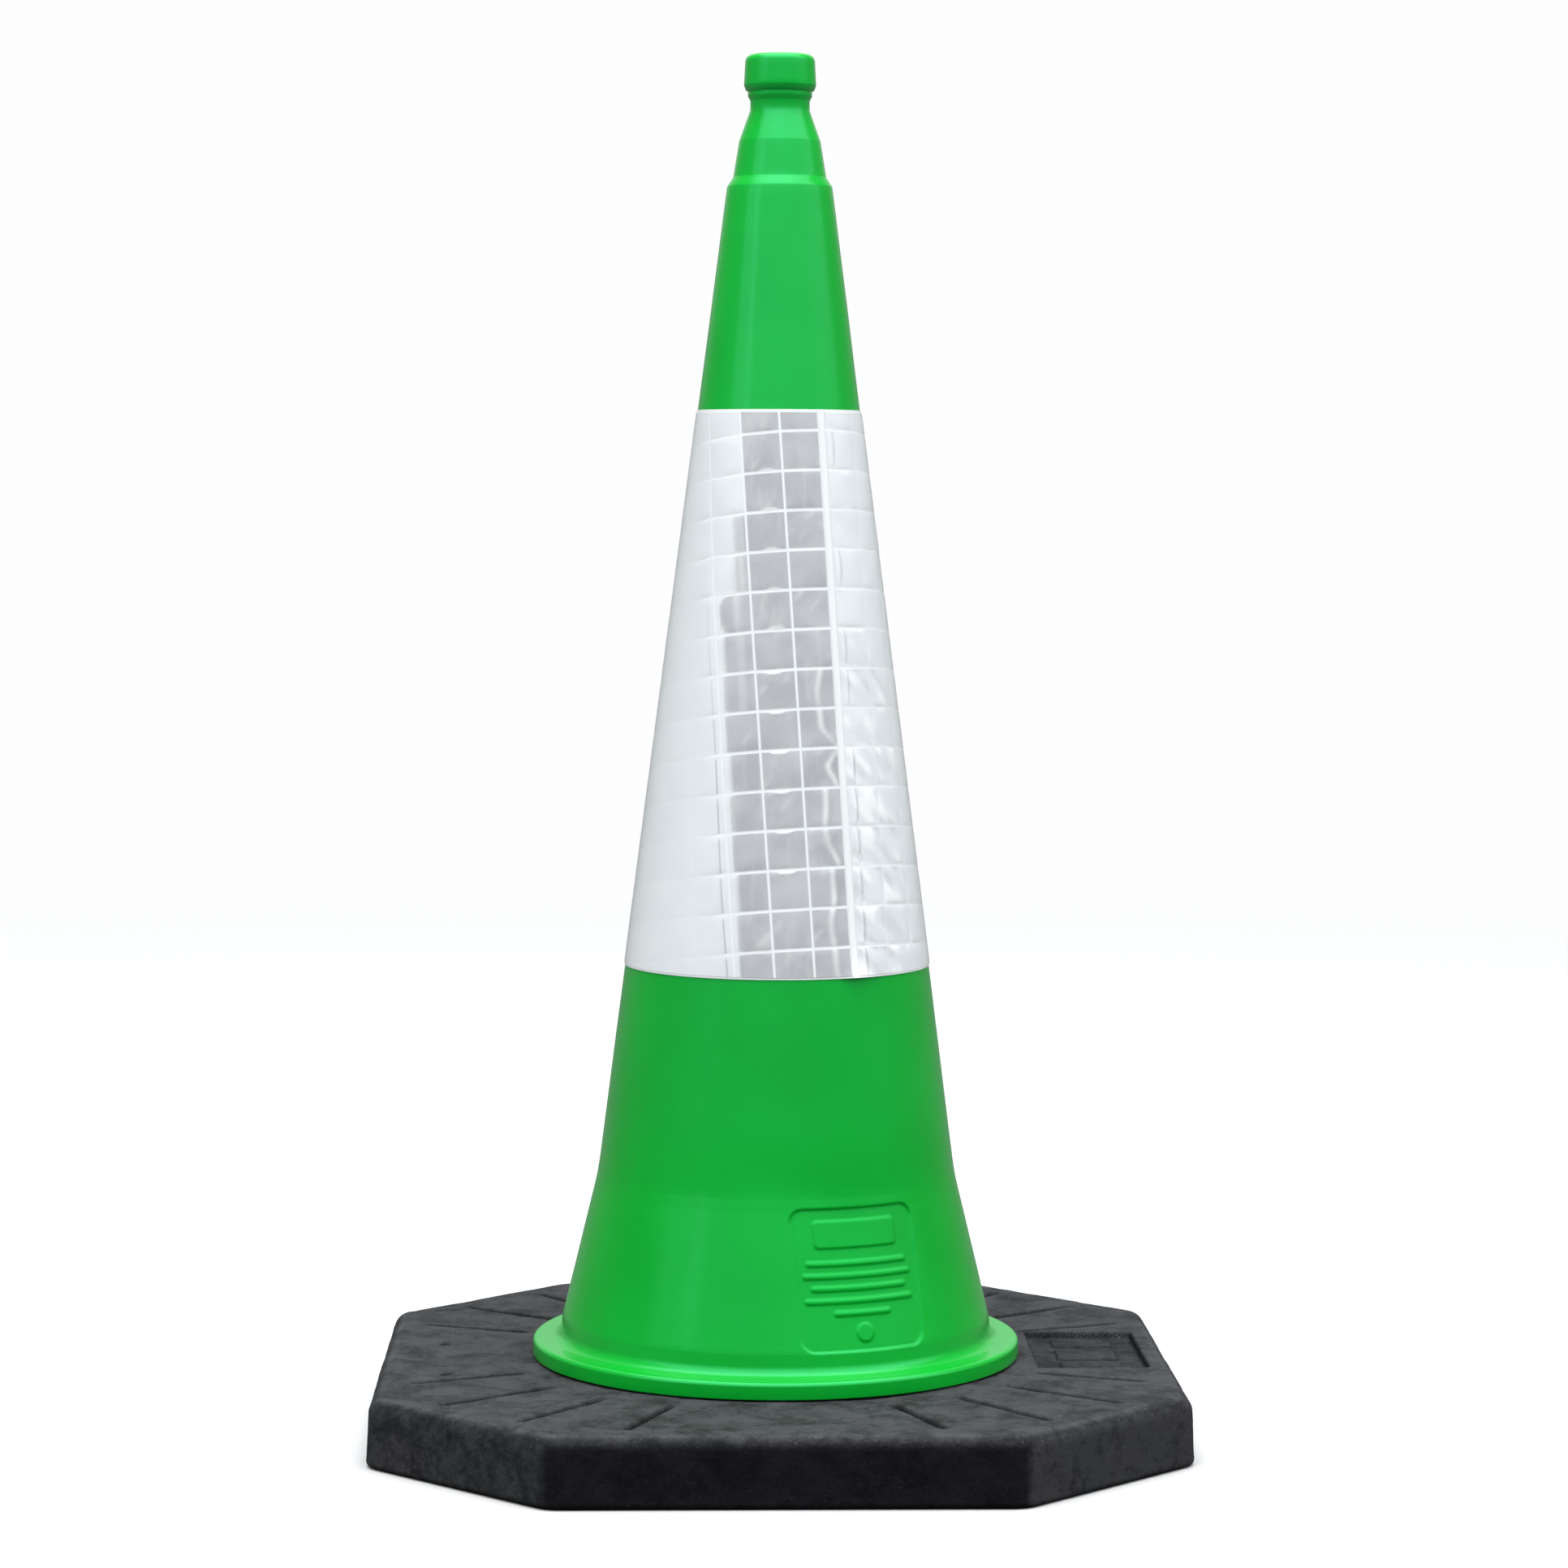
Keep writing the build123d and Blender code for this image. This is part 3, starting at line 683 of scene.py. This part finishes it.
def make_cone_shell():
    """The green shell, with soft edges to its nameplate and the faint waviness of a moulded wall."""
    outside, under, skirt, inner = shell_section()
    rows = outside + under + skirt + inner
    columns = shell_columns()
    radius = np.array([p.x for p in rows])[:, None] * np.ones(len(columns))
    z = np.array([p.y for p in rows])[:, None] * np.ones(len(columns))
    bearing = columns[None, :] * np.ones((len(rows), 1))
    x, y = around(radius, bearing)

    out = slice(0, len(outside))
    wave = layered_noise((x[out], y[out], z[out]), SHELL_WAVES)
    fade = smooth(z[out], *WAVE_FOOT) * (1 - smooth(z[out], *WAVE_HEAD))
    near_plate = np.abs(z[out] - PLATE_Z) < PLATE_REACH
    radius[out] += wave * fade + plate_relief(bearing[out], radius[out], z[out]) * near_plate

    first = len(outside) + len(under)
    from_lug = np.abs((columns + 180 / LUG_COUNT) % (360 / LUG_COUNT) - 180 / LUG_COUNT)
    for row, level in enumerate(SKIRT_LEVELS, first):
        if level in (LUG_TOP - LUG_EDGE, LUG_TOP - LUG_HEIGHT):
            radius[row] += LUG_REACH * (from_lug < LUG_HALF_ARC)
    slot_level = SKIRT_LEVELS.index(SLOT_TOP)
    left_out, walls = slot_faces(columns, first + slot_level, first + len(skirt) - 1 - slot_level)
    points = np.stack([*around(radius, bearing), z], axis=2)
    shell = mesh_object("cone_shell", points.reshape(-1, 3),
                        ring_faces(len(rows), len(columns), left_out) + walls)
    welded(shell)
    return shell


# ---- base

def octagon_reach(bearing, inset):
    """Distance from the axis to the base's octagonal outline with rounded corners, inset by so much."""
    turn = np.radians(np.abs((bearing + 45) % 90 - 45))
    rounding = np.maximum(BASE_CORNER - inset, 1.0)
    side = BASE_HALF - inset
    diagonal = (2 * BASE_HALF - BASE_CUT) / math.sqrt(2) - inset
    centre_x = side - rounding
    centre_y = (diagonal - rounding) * math.sqrt(2) - centre_x
    towards = centre_x * np.cos(turn) + centre_y * np.sin(turn)
    beside = rounding ** 2 - centre_x ** 2 - centre_y ** 2 + towards ** 2
    corner = towards + np.sqrt(np.maximum(beside, 0))
    tangent = rounding / math.sqrt(2)
    on_side = turn < np.arctan2(centre_y, side)
    on_diagonal = turn > np.arctan2(centre_y + tangent, centre_x + tangent)
    reach = np.where(on_side, side / np.cos(turn), corner)
    return np.where(on_diagonal, diagonal / np.cos(np.pi / 4 - turn), reach)


def top_relief(x, y):
    """Relief of the base's grooves, recess with plain bars, and dents, and the painted shade in them."""
    relief, shade_in_hollows = np.zeros_like(x), np.zeros_like(x)
    for quarter in range(4):
        for angle, end in GROOVES:
            turn = math.radians(angle + 90 * quarter)
            along = x * math.cos(turn) + y * math.sin(turn)
            across = -x * math.sin(turn) + y * math.cos(turn)
            middle, half = (GROOVE_START + end) / 2, (end - GROOVE_START) / 2
            distance = edge_distance(along - middle, across, (half, GROOVE_HALF_WIDTH), GROOVE_HALF_WIDTH)
            relief -= GROOVE_DEPTH * (1 - smooth(distance, -1.6, 0.8))
            # Painted shade along each groove
            shade_in_hollows = np.maximum(shade_in_hollows, GROOVE_SHADE * (1 - smooth(distance, -1.4, 1.0)))
    recess_x, recess_y = x - RECESS_CENTRE[0], y - RECESS_CENTRE[1]
    edge = edge_distance(recess_x, recess_y, RECESS_HALF, RECESS_CORNER)
    inside = 1 - smooth(edge, -1.0, 0.4)
    depth = RECESS_DEPTH * inside
    # Painted shade on the recess floor and along its edge
    shade_in_hollows = np.maximum(shade_in_hollows, np.maximum(RECESS_SHADE * inside, hump(edge, -0.6, 1.3)))
    for i, half in enumerate(RECESS_BARS):
        bar_y = recess_y - (i - 1) * RECESS_BAR_PITCH
        bar_edge = edge_distance(recess_x, bar_y, (RECESS_BAR_HALF, half), RECESS_CORNER)
        depth -= RECESS_BAR_RISE * (1 - smooth(bar_edge, -0.8, 0.6))
        # Painted shade round each bar
        shade_in_hollows = np.maximum(shade_in_hollows, BAR_SHADE * hump(bar_edge, 0.4, 1.6))
    relief -= depth
    for dent_x, dent_y in DENTS:
        dent = 1 - smooth(np.hypot(x - dent_x, y - dent_y), *DENT_RADII)
        relief -= DENT_DEPTH * dent
        # Painted shade in each dent
        shade_in_hollows = np.maximum(shade_in_hollows, dent)
    return relief, shade_in_hollows


def pocket_height(bearing, radius):
    """Height of the underside above the ground: ribs at 0 and hollows between them."""
    step = 360 / POCKET_COUNT
    off = (bearing + step / 2) % step - step / 2
    from_rib = np.abs(radius * np.sin(np.radians(off))) - RIB_HALF
    from_ring = np.abs(radius - RING_RIB) - RIB_HALF
    from_inner = radius - POCKET_INNER
    from_outer = octagon_reach(bearing, POCKET_WALL) - radius
    inside = np.minimum(np.minimum(from_rib, from_ring), np.minimum(from_inner, from_outer))
    return POCKET_DEPTH * smooth(inside, 0.0, 1.6)


def base_columns():
    """Bearings of the base's mesh, closer together at grooves, corners, ribs and across the recess."""
    corner = math.degrees(math.atan2(BASE_HALF - BASE_CUT, BASE_HALF))
    fine = [(0.0, 21.0, 0.3)]
    fine += [(k * 360 / POCKET_COUNT, 2.0, 0.5) for k in range(1, POCKET_COUNT)]
    for quarter in (0, 90, 180, 270):
        fine += [(angle + quarter, 1.5, 0.2) for angle, _ in GROOVES]
        fine += [(angle + quarter, 1.5, 0.25) for angle in (corner, 90 - corner)]
    return bearings(BASE_COLUMN_STEP, fine)


def top_rows(columns, inset):
    """Radii of the rows across the base's top: round at the well, and along the sides further out."""
    first = BASE_HALF - WELL_RADIUS - 2.0
    edges = [BASE_HALF - RECESS_CENTRE[0] + side * half
             for side in (-1, 1) for half in (RECESS_HALF[0], RECESS_BAR_HALF)]
    insets = {float(i) for i in np.linspace(inset, first, TOP_ROW_COUNT)}
    insets = {i for i in insets if all(abs(i - edge) > 1.6 for edge in edges)}
    insets |= {edge + step for edge in edges for step in (-1.1, -0.4, 0.3, 1.0)}
    rows = []
    for row in sorted(insets, reverse=True):
        straight = smooth(first - row, 0.0, 18.0)
        rows.append((1 - straight) * (BASE_HALF - row) + straight * octagon_reach(columns, row))
    return rows


def base_profile():
    """The base's edge from its top to its foot, as (inset, height), with both corners rounded."""
    inward = 40.0
    edge = ((inward, BASE_TOP, 0.0), (BASE_DRAFT_INSET, BASE_TOP, BASE_TOP_ROUND),
            (0.0, 0.0, BASE_FOOT_ROUND), (inward, 0.0, 0.0))
    return divided(rounded_outline(edge)[1:-1], lambda z: BASE_ROW_STEP)


def base_rows(columns, profile):
    """Radii and heights of the base's rows, once round, and how many lie in the well and on top."""
    ones = np.ones(len(columns))
    well = [(UNDERCUT_RADIUS, 0.0), (UNDERCUT_RADIUS, UNDERCUT_Z)]
    well += [(WELL_RADIUS, z) for z in (UNDERCUT_Z, 30.0, 39.0, 48.4)] + [(WELL_RADIUS + 0.5, 49.5)]
    top = top_rows(columns, profile[0].x)
    radius = [r * ones for r, _ in well] + top + [octagon_reach(columns, p.x) for p in profile[1:]]
    height = [z * ones for _, z in well] + [BASE_TOP * ones] * len(top) + [p.y * ones for p in profile[1:]]
    radius += [octagon_reach(columns, inset) for inset in UNDER_INSETS]
    innermost = radius[-1]
    radius += [(1 - share) * innermost + share * UNDER_MIDDLE for share in UNDER_SHARES]
    radius += [r * ones for r in UNDER_RADII]
    height += [0 * ones] * (len(radius) - len(height))
    return np.array(radius), np.array(height), len(well), len(top)


def make_base_block():
    """The heavy base: worn, slightly uneven octagonal block with grooves on top and hollows below."""
    columns, profile = base_columns(), base_profile()
    radius, height, in_well, across_top = base_rows(columns, profile)
    bearing = columns[None, :] * np.ones((len(radius), 1))
    x, y = around(radius, bearing)

    hollow_shade, edge_wear = np.zeros_like(radius), np.zeros_like(radius)
    on_top = slice(in_well, in_well + across_top)
    below = on_top.stop + len(profile) - 1
    # The top's relief, and the painted shade of its hollows
    relief, hollow_shade[on_top] = top_relief(x[on_top], y[on_top])
    height[on_top] += relief
    height[below:] = pocket_height(bearing[below:], radius[below:])
    skin = slice(in_well - 3, below)
    at = x[skin], y[skin], height[skin]
    lumps = layered_noise(at, LUMPS)
    sideways = smooth(radius[skin] - octagon_reach(bearing[skin], profile[0].x), 0.0, BASE_TOP_ROUND)
    above = smooth(height[skin], 0.0, 8.0)
    edge_wear[skin] = hump(sideways, 0.25, 0.45)
    nick = np.maximum(noise_of(*at, 10.0, 21.0) - 0.40, 0) * 2.2
    nick *= hump(sideways, 0.45, 0.4) * above
    height[skin] += ((lumps - 0.2) * (1 - sideways) - nick) * above
    radius[skin] += (lumps - 0.4) * sideways * above - nick
    points = np.stack([*around(radius, bearing), height], axis=2)
    # Point attributes: the hollows' painted shade and the worn edges
    paint = {"hollow_shade": hollow_shade.ravel(), "edge": edge_wear.ravel()}
    block = mesh_object("base_block", points.reshape(-1, 3), ring_faces(len(radius), len(columns)), paint)
    welded(block)
    return block


# ---- reflective sleeve

def sleeve_frame():
    """Half angle and apex height of the taper, and the sleeve's lower and upper edge from the CAD frame."""
    low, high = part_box("sleeve_left_backing")
    slope = (TAPER_FOOT[0] - TAPER_TOP[0]) / (TAPER_TOP[1] - TAPER_FOOT[1])
    apex = TAPER_TOP[1] + TAPER_TOP[0] / slope
    return math.atan(slope), apex, low.z / MM, high.z / MM


HALF_ANGLE, APEX_Z, SLEEVE_LOW, SLEEVE_HIGH = sleeve_frame()
FLAT_TOP = (APEX_Z - SLEEVE_HIGH) / math.cos(HALF_ANGLE)
FLAT_FOOT = (APEX_Z - SLEEVE_LOW) / math.cos(HALF_ANGLE)
FLAT_ARC = math.pi * math.sin(HALF_ANGLE)


def wrapped(u, v, offset, side):
    """Places on the cone of points on a gore's flat film; u runs from the front seam, v from the apex."""
    reach, turn = np.hypot(u, v), np.arctan2(u, v)
    bearing = math.radians(SEAM_BEARING) + side * turn / math.sin(HALF_ANGLE)
    radius = reach * math.sin(HALF_ANGLE) + offset * math.cos(HALF_ANGLE)
    z = APEX_Z - reach * math.cos(HALF_ANGLE) + offset * math.sin(HALF_ANGLE)
    return np.stack([radius * np.cos(bearing), radius * np.sin(bearing), z], axis=-1)


def foot_lift(u, v, side):
    """How far the film stands off the cone by the foot of the front seam."""
    up = FLAT_FOOT - np.hypot(u, v)
    reach = 15.0 if side > 0 else 9.0
    return FOOT_LIFT * hump(u, 3.0 * (side > 0), reach) * np.exp(-np.maximum(up, 0) / FOOT_LIFT_HEIGHT)


def grid_lines(first, last, steps_at):
    """Places along one axis of the weld grid, cell by cell, with the steps that steps_at(cell) gives."""
    lines = {first, last}
    for cell in range(math.floor((first - SEAM_HALF) / CELL), math.ceil((last - SEAM_HALF) / CELL)):
        steps = steps_at(cell)
        inner = list(steps) + [CELL - s for s in reversed(steps[:-1])]
        lines |= {cell * CELL + SEAM_HALF + s for s in inner}
    return np.array(sorted(line for line in lines if first <= line <= last))


def cell_places(u, v):
    """Column and row of the weld grid's cells, and the place within the cell from 0 to 1."""
    column = np.floor((u - SEAM_HALF) / CELL)
    row = np.floor((v - FLAT_TOP - FIRST_ROW) / CELL)
    return column, row, (u - SEAM_HALF) / CELL - column, (v - FLAT_TOP - FIRST_ROW) / CELL - row


def film_bearing(u, v):
    """Angle round the axis from the front seam, in degrees."""
    return np.degrees(np.arctan2(u, v)) / math.sin(HALF_ANGLE)


def by_row(row, table):
    """A value for each row from a table of a few rows, 0 elsewhere."""
    return sum((row == key) * value for key, value in table.items()) + 0.0 * row


def left_fold(u, v):
    """Strength of the wavy fold that runs down beside the front seam, and the distance to it."""
    column, row, _, down = cell_places(u, v)
    path = SEAM_HALF + 12.0 + 1.7 * np.sin(v / 13.0) + 0.7 * np.sin(v / 5.3 + 2.0)
    path -= (by_row(row, CURL_LOW) * smooth(down, 0.4, 1.0)
             + by_row(row, CURL_HIGH) * (1 - smooth(down, 0.0, 0.5)))
    strength = smooth(row, 4.5, 7.0) * (0.7 + 0.3 * np.sin(v / 7.1) * np.sin(v / 18.0)) * (column == 0)
    return strength, u - path


def right_crease(u, v):
    """Strength of the sharp crease to the right of the front seam, and the distance to it."""
    column, row, _, down = cell_places(u, v)
    path = SEAM_HALF + 5.5 + 1.5 * smooth(row, 4.0, 10.0) + 1.3 * np.sin(np.pi * down)
    broken = np.where(row < 8, (np.sin(row * 2.3 + 1.2) > -0.2) * 0.7, 1.0) * (row >= 0)
    return broken * np.sin(np.pi * np.clip(down, 0.05, 0.95)) ** 0.5 * (column == 0), u - path


def wrinkles(u, v, side):
    """Long slanting wrinkles within each cell, from -1 to 1, strongest low on the right of the front seam."""
    column, row, _, _ = cell_places(u, v)
    along, across = (u + v) * 0.7, (v - u) * 0.7
    value = noise_of(along / 2.6, across, 9.0 * fixed_random(column, row, 2.0), 6.5, 31.0 + side)
    if side < 0:
        return value * 0.3 * (1 - smooth(u, 60.0, 110.0))
    return value * (0.25 + 0.75 * smooth(v - FLAT_TOP, 120.0, 290.0)) * (1 - 0.8 * smooth(u, 40.0, 75.0))


def film_relief(u, v, side):
    """Height of the facing above its weld lines: puffed cells, creases and small ripples."""
    column, row, across, down = cell_places(u, v)
    calm = 1 - 0.6 * smooth(u, 90.0, 110.0)
    rise = (0.14 + 0.20 * fixed_random(column, row, 1.0 + side)) * calm
    puff = rise * (1 - np.abs(2 * across - 1) ** 5) * (1 - np.abs(2 * down - 1) ** 5)
    within = smooth(np.minimum(across, 1 - across) * CELL, WELD_ACROSS, 2.6)
    within = within * smooth(np.minimum(down, 1 - down) * CELL, WELD_DOWN, 2.6)
    puff += 0.10 * noise_of(u, v, 0 * u, 11.0, 3.0 + side) * within * calm
    puff += 0.42 * wrinkles(u, v, side) * within
    if side < 0:
        strength, distance = left_fold(u, v)
        puff += 0.30 * strength * hump(distance, 0.0, 2.8) * within
        puff += 0.35 * glint_share(u, v) * within
    else:
        strength, distance = right_crease(u, v)
        puff -= 0.45 * strength * hump(distance, 0.0, 1.0) * within
        puff += 0.35 * strength * hump(distance, -2.4, 1.5) * within
    return puff


def glint_share(u, v):
    """Lens-shaped slivers beside a weld, a little raised and painted as a highlight."""
    column, row, across, down = cell_places(u, v)
    low = np.isin(row, GLINTS_LOW)
    from_weld = np.where(low, 1 - down, down) * CELL - WELD_DOWN
    middle = np.where(low, 0.40, 0.53)
    lens = (1.5 + fixed_random(column, row, 8.0)) * (1 - ((across - middle) / 0.27) ** 2)
    chosen = (column == 1) * (low | np.isin(row, GLINTS_HIGH))
    return 0.9 * smooth(lens - from_weld, -0.4, 1.0) * chosen


def reflected_grey_share(u, v, side):
    """Share of painted grey reflection, standing for the retroreflected dark surroundings, in the cells
    beside the front seam and across the back.
    """
    column, row, across, down = cell_places(u, v)
    clear = smooth(np.minimum(across, 1 - across) * CELL, WELD_ACROSS, WELD_ACROSS + 0.5)
    clear = clear * smooth(np.minimum(down, 1 - down) * CELL, WELD_DOWN, WELD_DOWN + 0.5)
    front = np.zeros_like(u)
    if side < 0:
        reach = np.where(row >= FULL_GREY_ROW, 0.84 + 0.03 * np.sin(row * 2.1), by_row(row, GREY_REACH))
        corner = np.where(row == FULL_GREY_ROW, 0.34, 0.12)
        past_x, past_y = across - reach + corner, np.abs(down - 0.5) - 0.5 + corner
        round_edge = np.hypot(np.maximum(past_x, 0), np.maximum(past_y, 0)) - corner
        soft = np.where(row >= FULL_GREY_ROW, 0.05, 0.10)
        third = (column == GREY_COLUMNS) * (reach > 0.1) * (1 - smooth(round_edge, -soft, 0.02))
        # A lighter band within the partly grey cells of the upper rows, part of the painted reflection
        band = 1 - 0.45 * hump(across, 0.42 * reach, 0.07) * (row < 7)
        front = (column < GREY_COLUMNS) + third * band
    # The same painted grey reflection in whole cells across the back
    middle_u, middle_v = SEAM_HALF + (column + 0.5) * CELL, FLAT_TOP + FIRST_ROW + (row + 0.5) * CELL
    back = np.abs(film_bearing(middle_u, middle_v) - GREY_BACK[0]) < GREY_BACK[1]
    return np.clip(front + back, 0, 1) * clear


def film_paint(u, v, side):
    """Attributes that colour the facing: weld lines, painted grey reflection in cells, painted highlights on
    folds, wrinkles and glints, and painted shade in creases and wrinkles.
    """
    column, row, across, down = cell_places(u, v)
    weld_across = 1 - smooth(np.minimum(across, 1 - across) * CELL, WELD_ACROSS, WELD_ACROSS + 0.4)
    weld_down = 1 - smooth(np.minimum(down, 1 - down) * CELL, WELD_DOWN, WELD_DOWN + 0.45)
    near = 1 - smooth(u, 88.0, 101.0) if side < 0 else 1 - 0.6 * smooth(u, 20.0, 70.0)
    back = 1 - smooth(np.abs(film_bearing(u, v) - GREY_BACK[0]), GREY_BACK[1] + 1, GREY_BACK[1] + 7)
    weld = np.maximum(weld_across * (1.0 if side < 0 else 0.35), weld_down)
    weld = weld * np.clip(0.12 + near + back, 0, 1)
    ripple = wrinkles(u, v, side)
    # Painted highlight on the wrinkles' crests, painted shade in their troughs, and a painted shadow line
    # along the seam's edge
    painted_highlight = 0.95 * smooth(ripple, 0.12, 0.55)
    painted_shade = 0.26 * smooth(-ripple, 0.15, 0.6) + 0.5 * hump(u, SEAM_HALF, 0.5)
    if side < 0:
        # Painted highlight along the fold and its glints, painted shade beside the fold, and a painted shade
        # line along the left crease, deeper lower down
        strength, distance = left_fold(u, v)
        painted_highlight += 0.8 * strength * hump(distance, 0.0, 2.1) + glint_share(u, v)
        painted_shade += 0.25 * strength * hump(distance, -4.0, 1.6)
        crease = hump(u, LEFT_CREASE + 0.5 * np.sin(v / 30.0), 0.55)
        deeper = 0.4 * smooth(row, 3.5, 4.5) + 0.5 * smooth(row, 6.5, 7.5)
        painted_shade += crease * deeper * smooth(down, 0.05, 0.15)
        # A soft band of painted highlight near the far edge of the third column, from the first full grey row
        # down
        painted_highlight += 0.15 * hump(u, SEAM_HALF + 2.88 * CELL, 2.0) * (row >= FULL_GREY_ROW)
    else:
        # Painted shade along the crease right of the seam, and painted highlight beside it
        strength, distance = right_crease(u, v)
        painted_shade += 0.9 * strength * hump(distance, 0.0, 0.6)
        painted_highlight += 0.5 * strength * hump(distance, -2.4, 1.2)
    return {"weld": weld, "reflected_grey": reflected_grey_share(u, v, side), "cell_tone": fixed_random(column, row, 11.0 + side),
            "painted_highlight": np.clip(painted_highlight, 0, 1), "painted_shade": np.clip(painted_shade, 0, 1) * (1 - weld)}


def grid_faces(rows, columns):
    """Quads of a grid with so many rows and columns of points."""
    return [(r * columns + c, r * columns + c + 1, (r + 1) * columns + c + 1, (r + 1) * columns + c)
            for r in range(rows - 1) for c in range(columns - 1)]


def film_piece(name, u, v, offset, side, thickness, attributes=None):
    """A film of some thickness, from a grid of places on the flat film and their offsets from the cone."""
    points = wrapped(u, v, offset, side).reshape(-1, 3)
    flat = {key: values.ravel() for key, values in (attributes or {}).items()}
    film = mesh_object(name, points, grid_faces(*u.shape), flat)
    welded(film, closed=False)
    thick = film.modifiers.new("thickness", "SOLIDIFY")
    thick.thickness = thickness * MM
    thick.offset = -1.0
    return film


def make_facing(name, side):
    """One gore's clear prismatic facing, welded down in squares."""
    def steps_at(cell):
        """Steps within a cell, finest beside the front seam."""
        if cell < FINE_CELLS[side]:
            return FINE_STEPS
        return EVEN_STEPS if cell < EVEN_CELLS else COARSE_STEPS

    columns = grid_lines(SEAM_HALF, FLAT_FOOT * math.sin(FLAT_ARC), steps_at)
    if side < 0:
        columns = np.array(sorted(set(columns) | {LEFT_CREASE + step for step in CREASE_STEPS}))
    rows = grid_lines(SEAM_HALF - ROWS_ABOVE * CELL, SEAM_HALF + ROWS_BELOW * CELL, lambda cell: EVEN_STEPS)
    rows = rows + FLAT_TOP + FIRST_ROW - SEAM_HALF
    u, v = np.meshgrid(columns, rows)
    for _ in range(3):
        far = (v * math.sin(FLAT_ARC) - SEAM_HALF) / math.cos(FLAT_ARC)
        top = np.sqrt((FLAT_TOP + TOP_BORDER) ** 2 - u ** 2)
        foot = np.sqrt((FLAT_FOOT - FOOT_BORDER) ** 2 - u ** 2)
        u = np.where(u > far - 1.2, far, u)
        v = np.where(v < top + 1.0, top, np.where(v > foot - 1.0, foot, v))
    edge = np.minimum(np.hypot(u, v) - FLAT_TOP - TOP_BORDER, FLAT_FOOT - FOOT_BORDER - np.hypot(u, v))
    relief = film_relief(u, v, side) * smooth(edge, 0.0, 8.0)
    offset = FILM_GAP + BACKING + FACING + relief + foot_lift(u, v, side)
    return film_piece(name, u, v, offset, side, FACING, film_paint(u, v, side))


def make_backing(name, side):
    """One gore's white backing film; it shows as a border above and below the facing."""
    turns = np.linspace(0.0, FLAT_ARC, 121)
    reaches = np.concatenate([[FLAT_TOP, FLAT_TOP + 1.5], np.linspace(FLAT_TOP + 4, FLAT_FOOT - 30, 24),
                              np.linspace(FLAT_FOOT - 26, FLAT_FOOT, 14)])
    turn, reach = np.meshgrid(turns, reaches)
    u, v = reach * np.sin(turn), reach * np.cos(turn)
    offset = FILM_GAP + BACKING + 0.05 * noise_of(u, v, 0 * u, 25.0, 5.0 + side) + foot_lift(u, v, side)
    return film_piece(name, u, v, offset, side, BACKING)


def make_seam_strip(name, turned):
    """White welded border that laps a seam, a little proud of the facing on both sides."""
    u, reach = np.meshgrid(STRIP_ACROSS, np.linspace(FLAT_TOP, FLAT_FOOT, 120))
    u = u + 0.12 * noise_of(0 * u, reach, 0 * u, 23.0, 2.0)
    v = np.sqrt(reach ** 2 - u ** 2)
    lift = 0.0 if turned else foot_lift(np.abs(u), v, 1)
    offset = FILM_GAP + BACKING + FACING + np.array(STRIP_CROWN)[None, :] + lift
    strip = film_piece(name, u, v, offset, 1, STRIP_FILM)
    if turned:
        strip.data.transform(Matrix.Rotation(math.pi, 4, "Z"))
    return strip


# ---- build

def finish_piece(piece, material, body, slot, *nodes):
    """Give a piece its material and body, and let it stand for its CAD nodes; slot is not used."""
    piece.data.materials.append(material)
    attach(piece, body)
    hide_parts(*nodes)


bpy.context.scene.view_settings.view_transform = "Standard"
make_camera()
make_floor()
make_world()
make_lights()
finish_piece(make_cone_shell(), green_shell_material(), "root", "green_shell", "cone_body")
finish_piece(make_base_block(), base_material(), "root", "recycled_base", "ballast_base")
white = white_film_material()
prismatic = prismatic_film_material()
for half, side in (("left", -1), ("right", 1)):
    facing, backing = f"sleeve_{half}_facing", f"sleeve_{half}_backing"
    finish_piece(make_facing(f"{half}_facing_film", side), prismatic, "sleeve", "prismatic_film", facing)
    finish_piece(make_backing(f"{half}_backing_film", side), white, "sleeve", "white_film", backing)
    finish_piece(make_seam_strip(f"{half}_seam_border", side > 0), white, "sleeve", "white_film", backing)
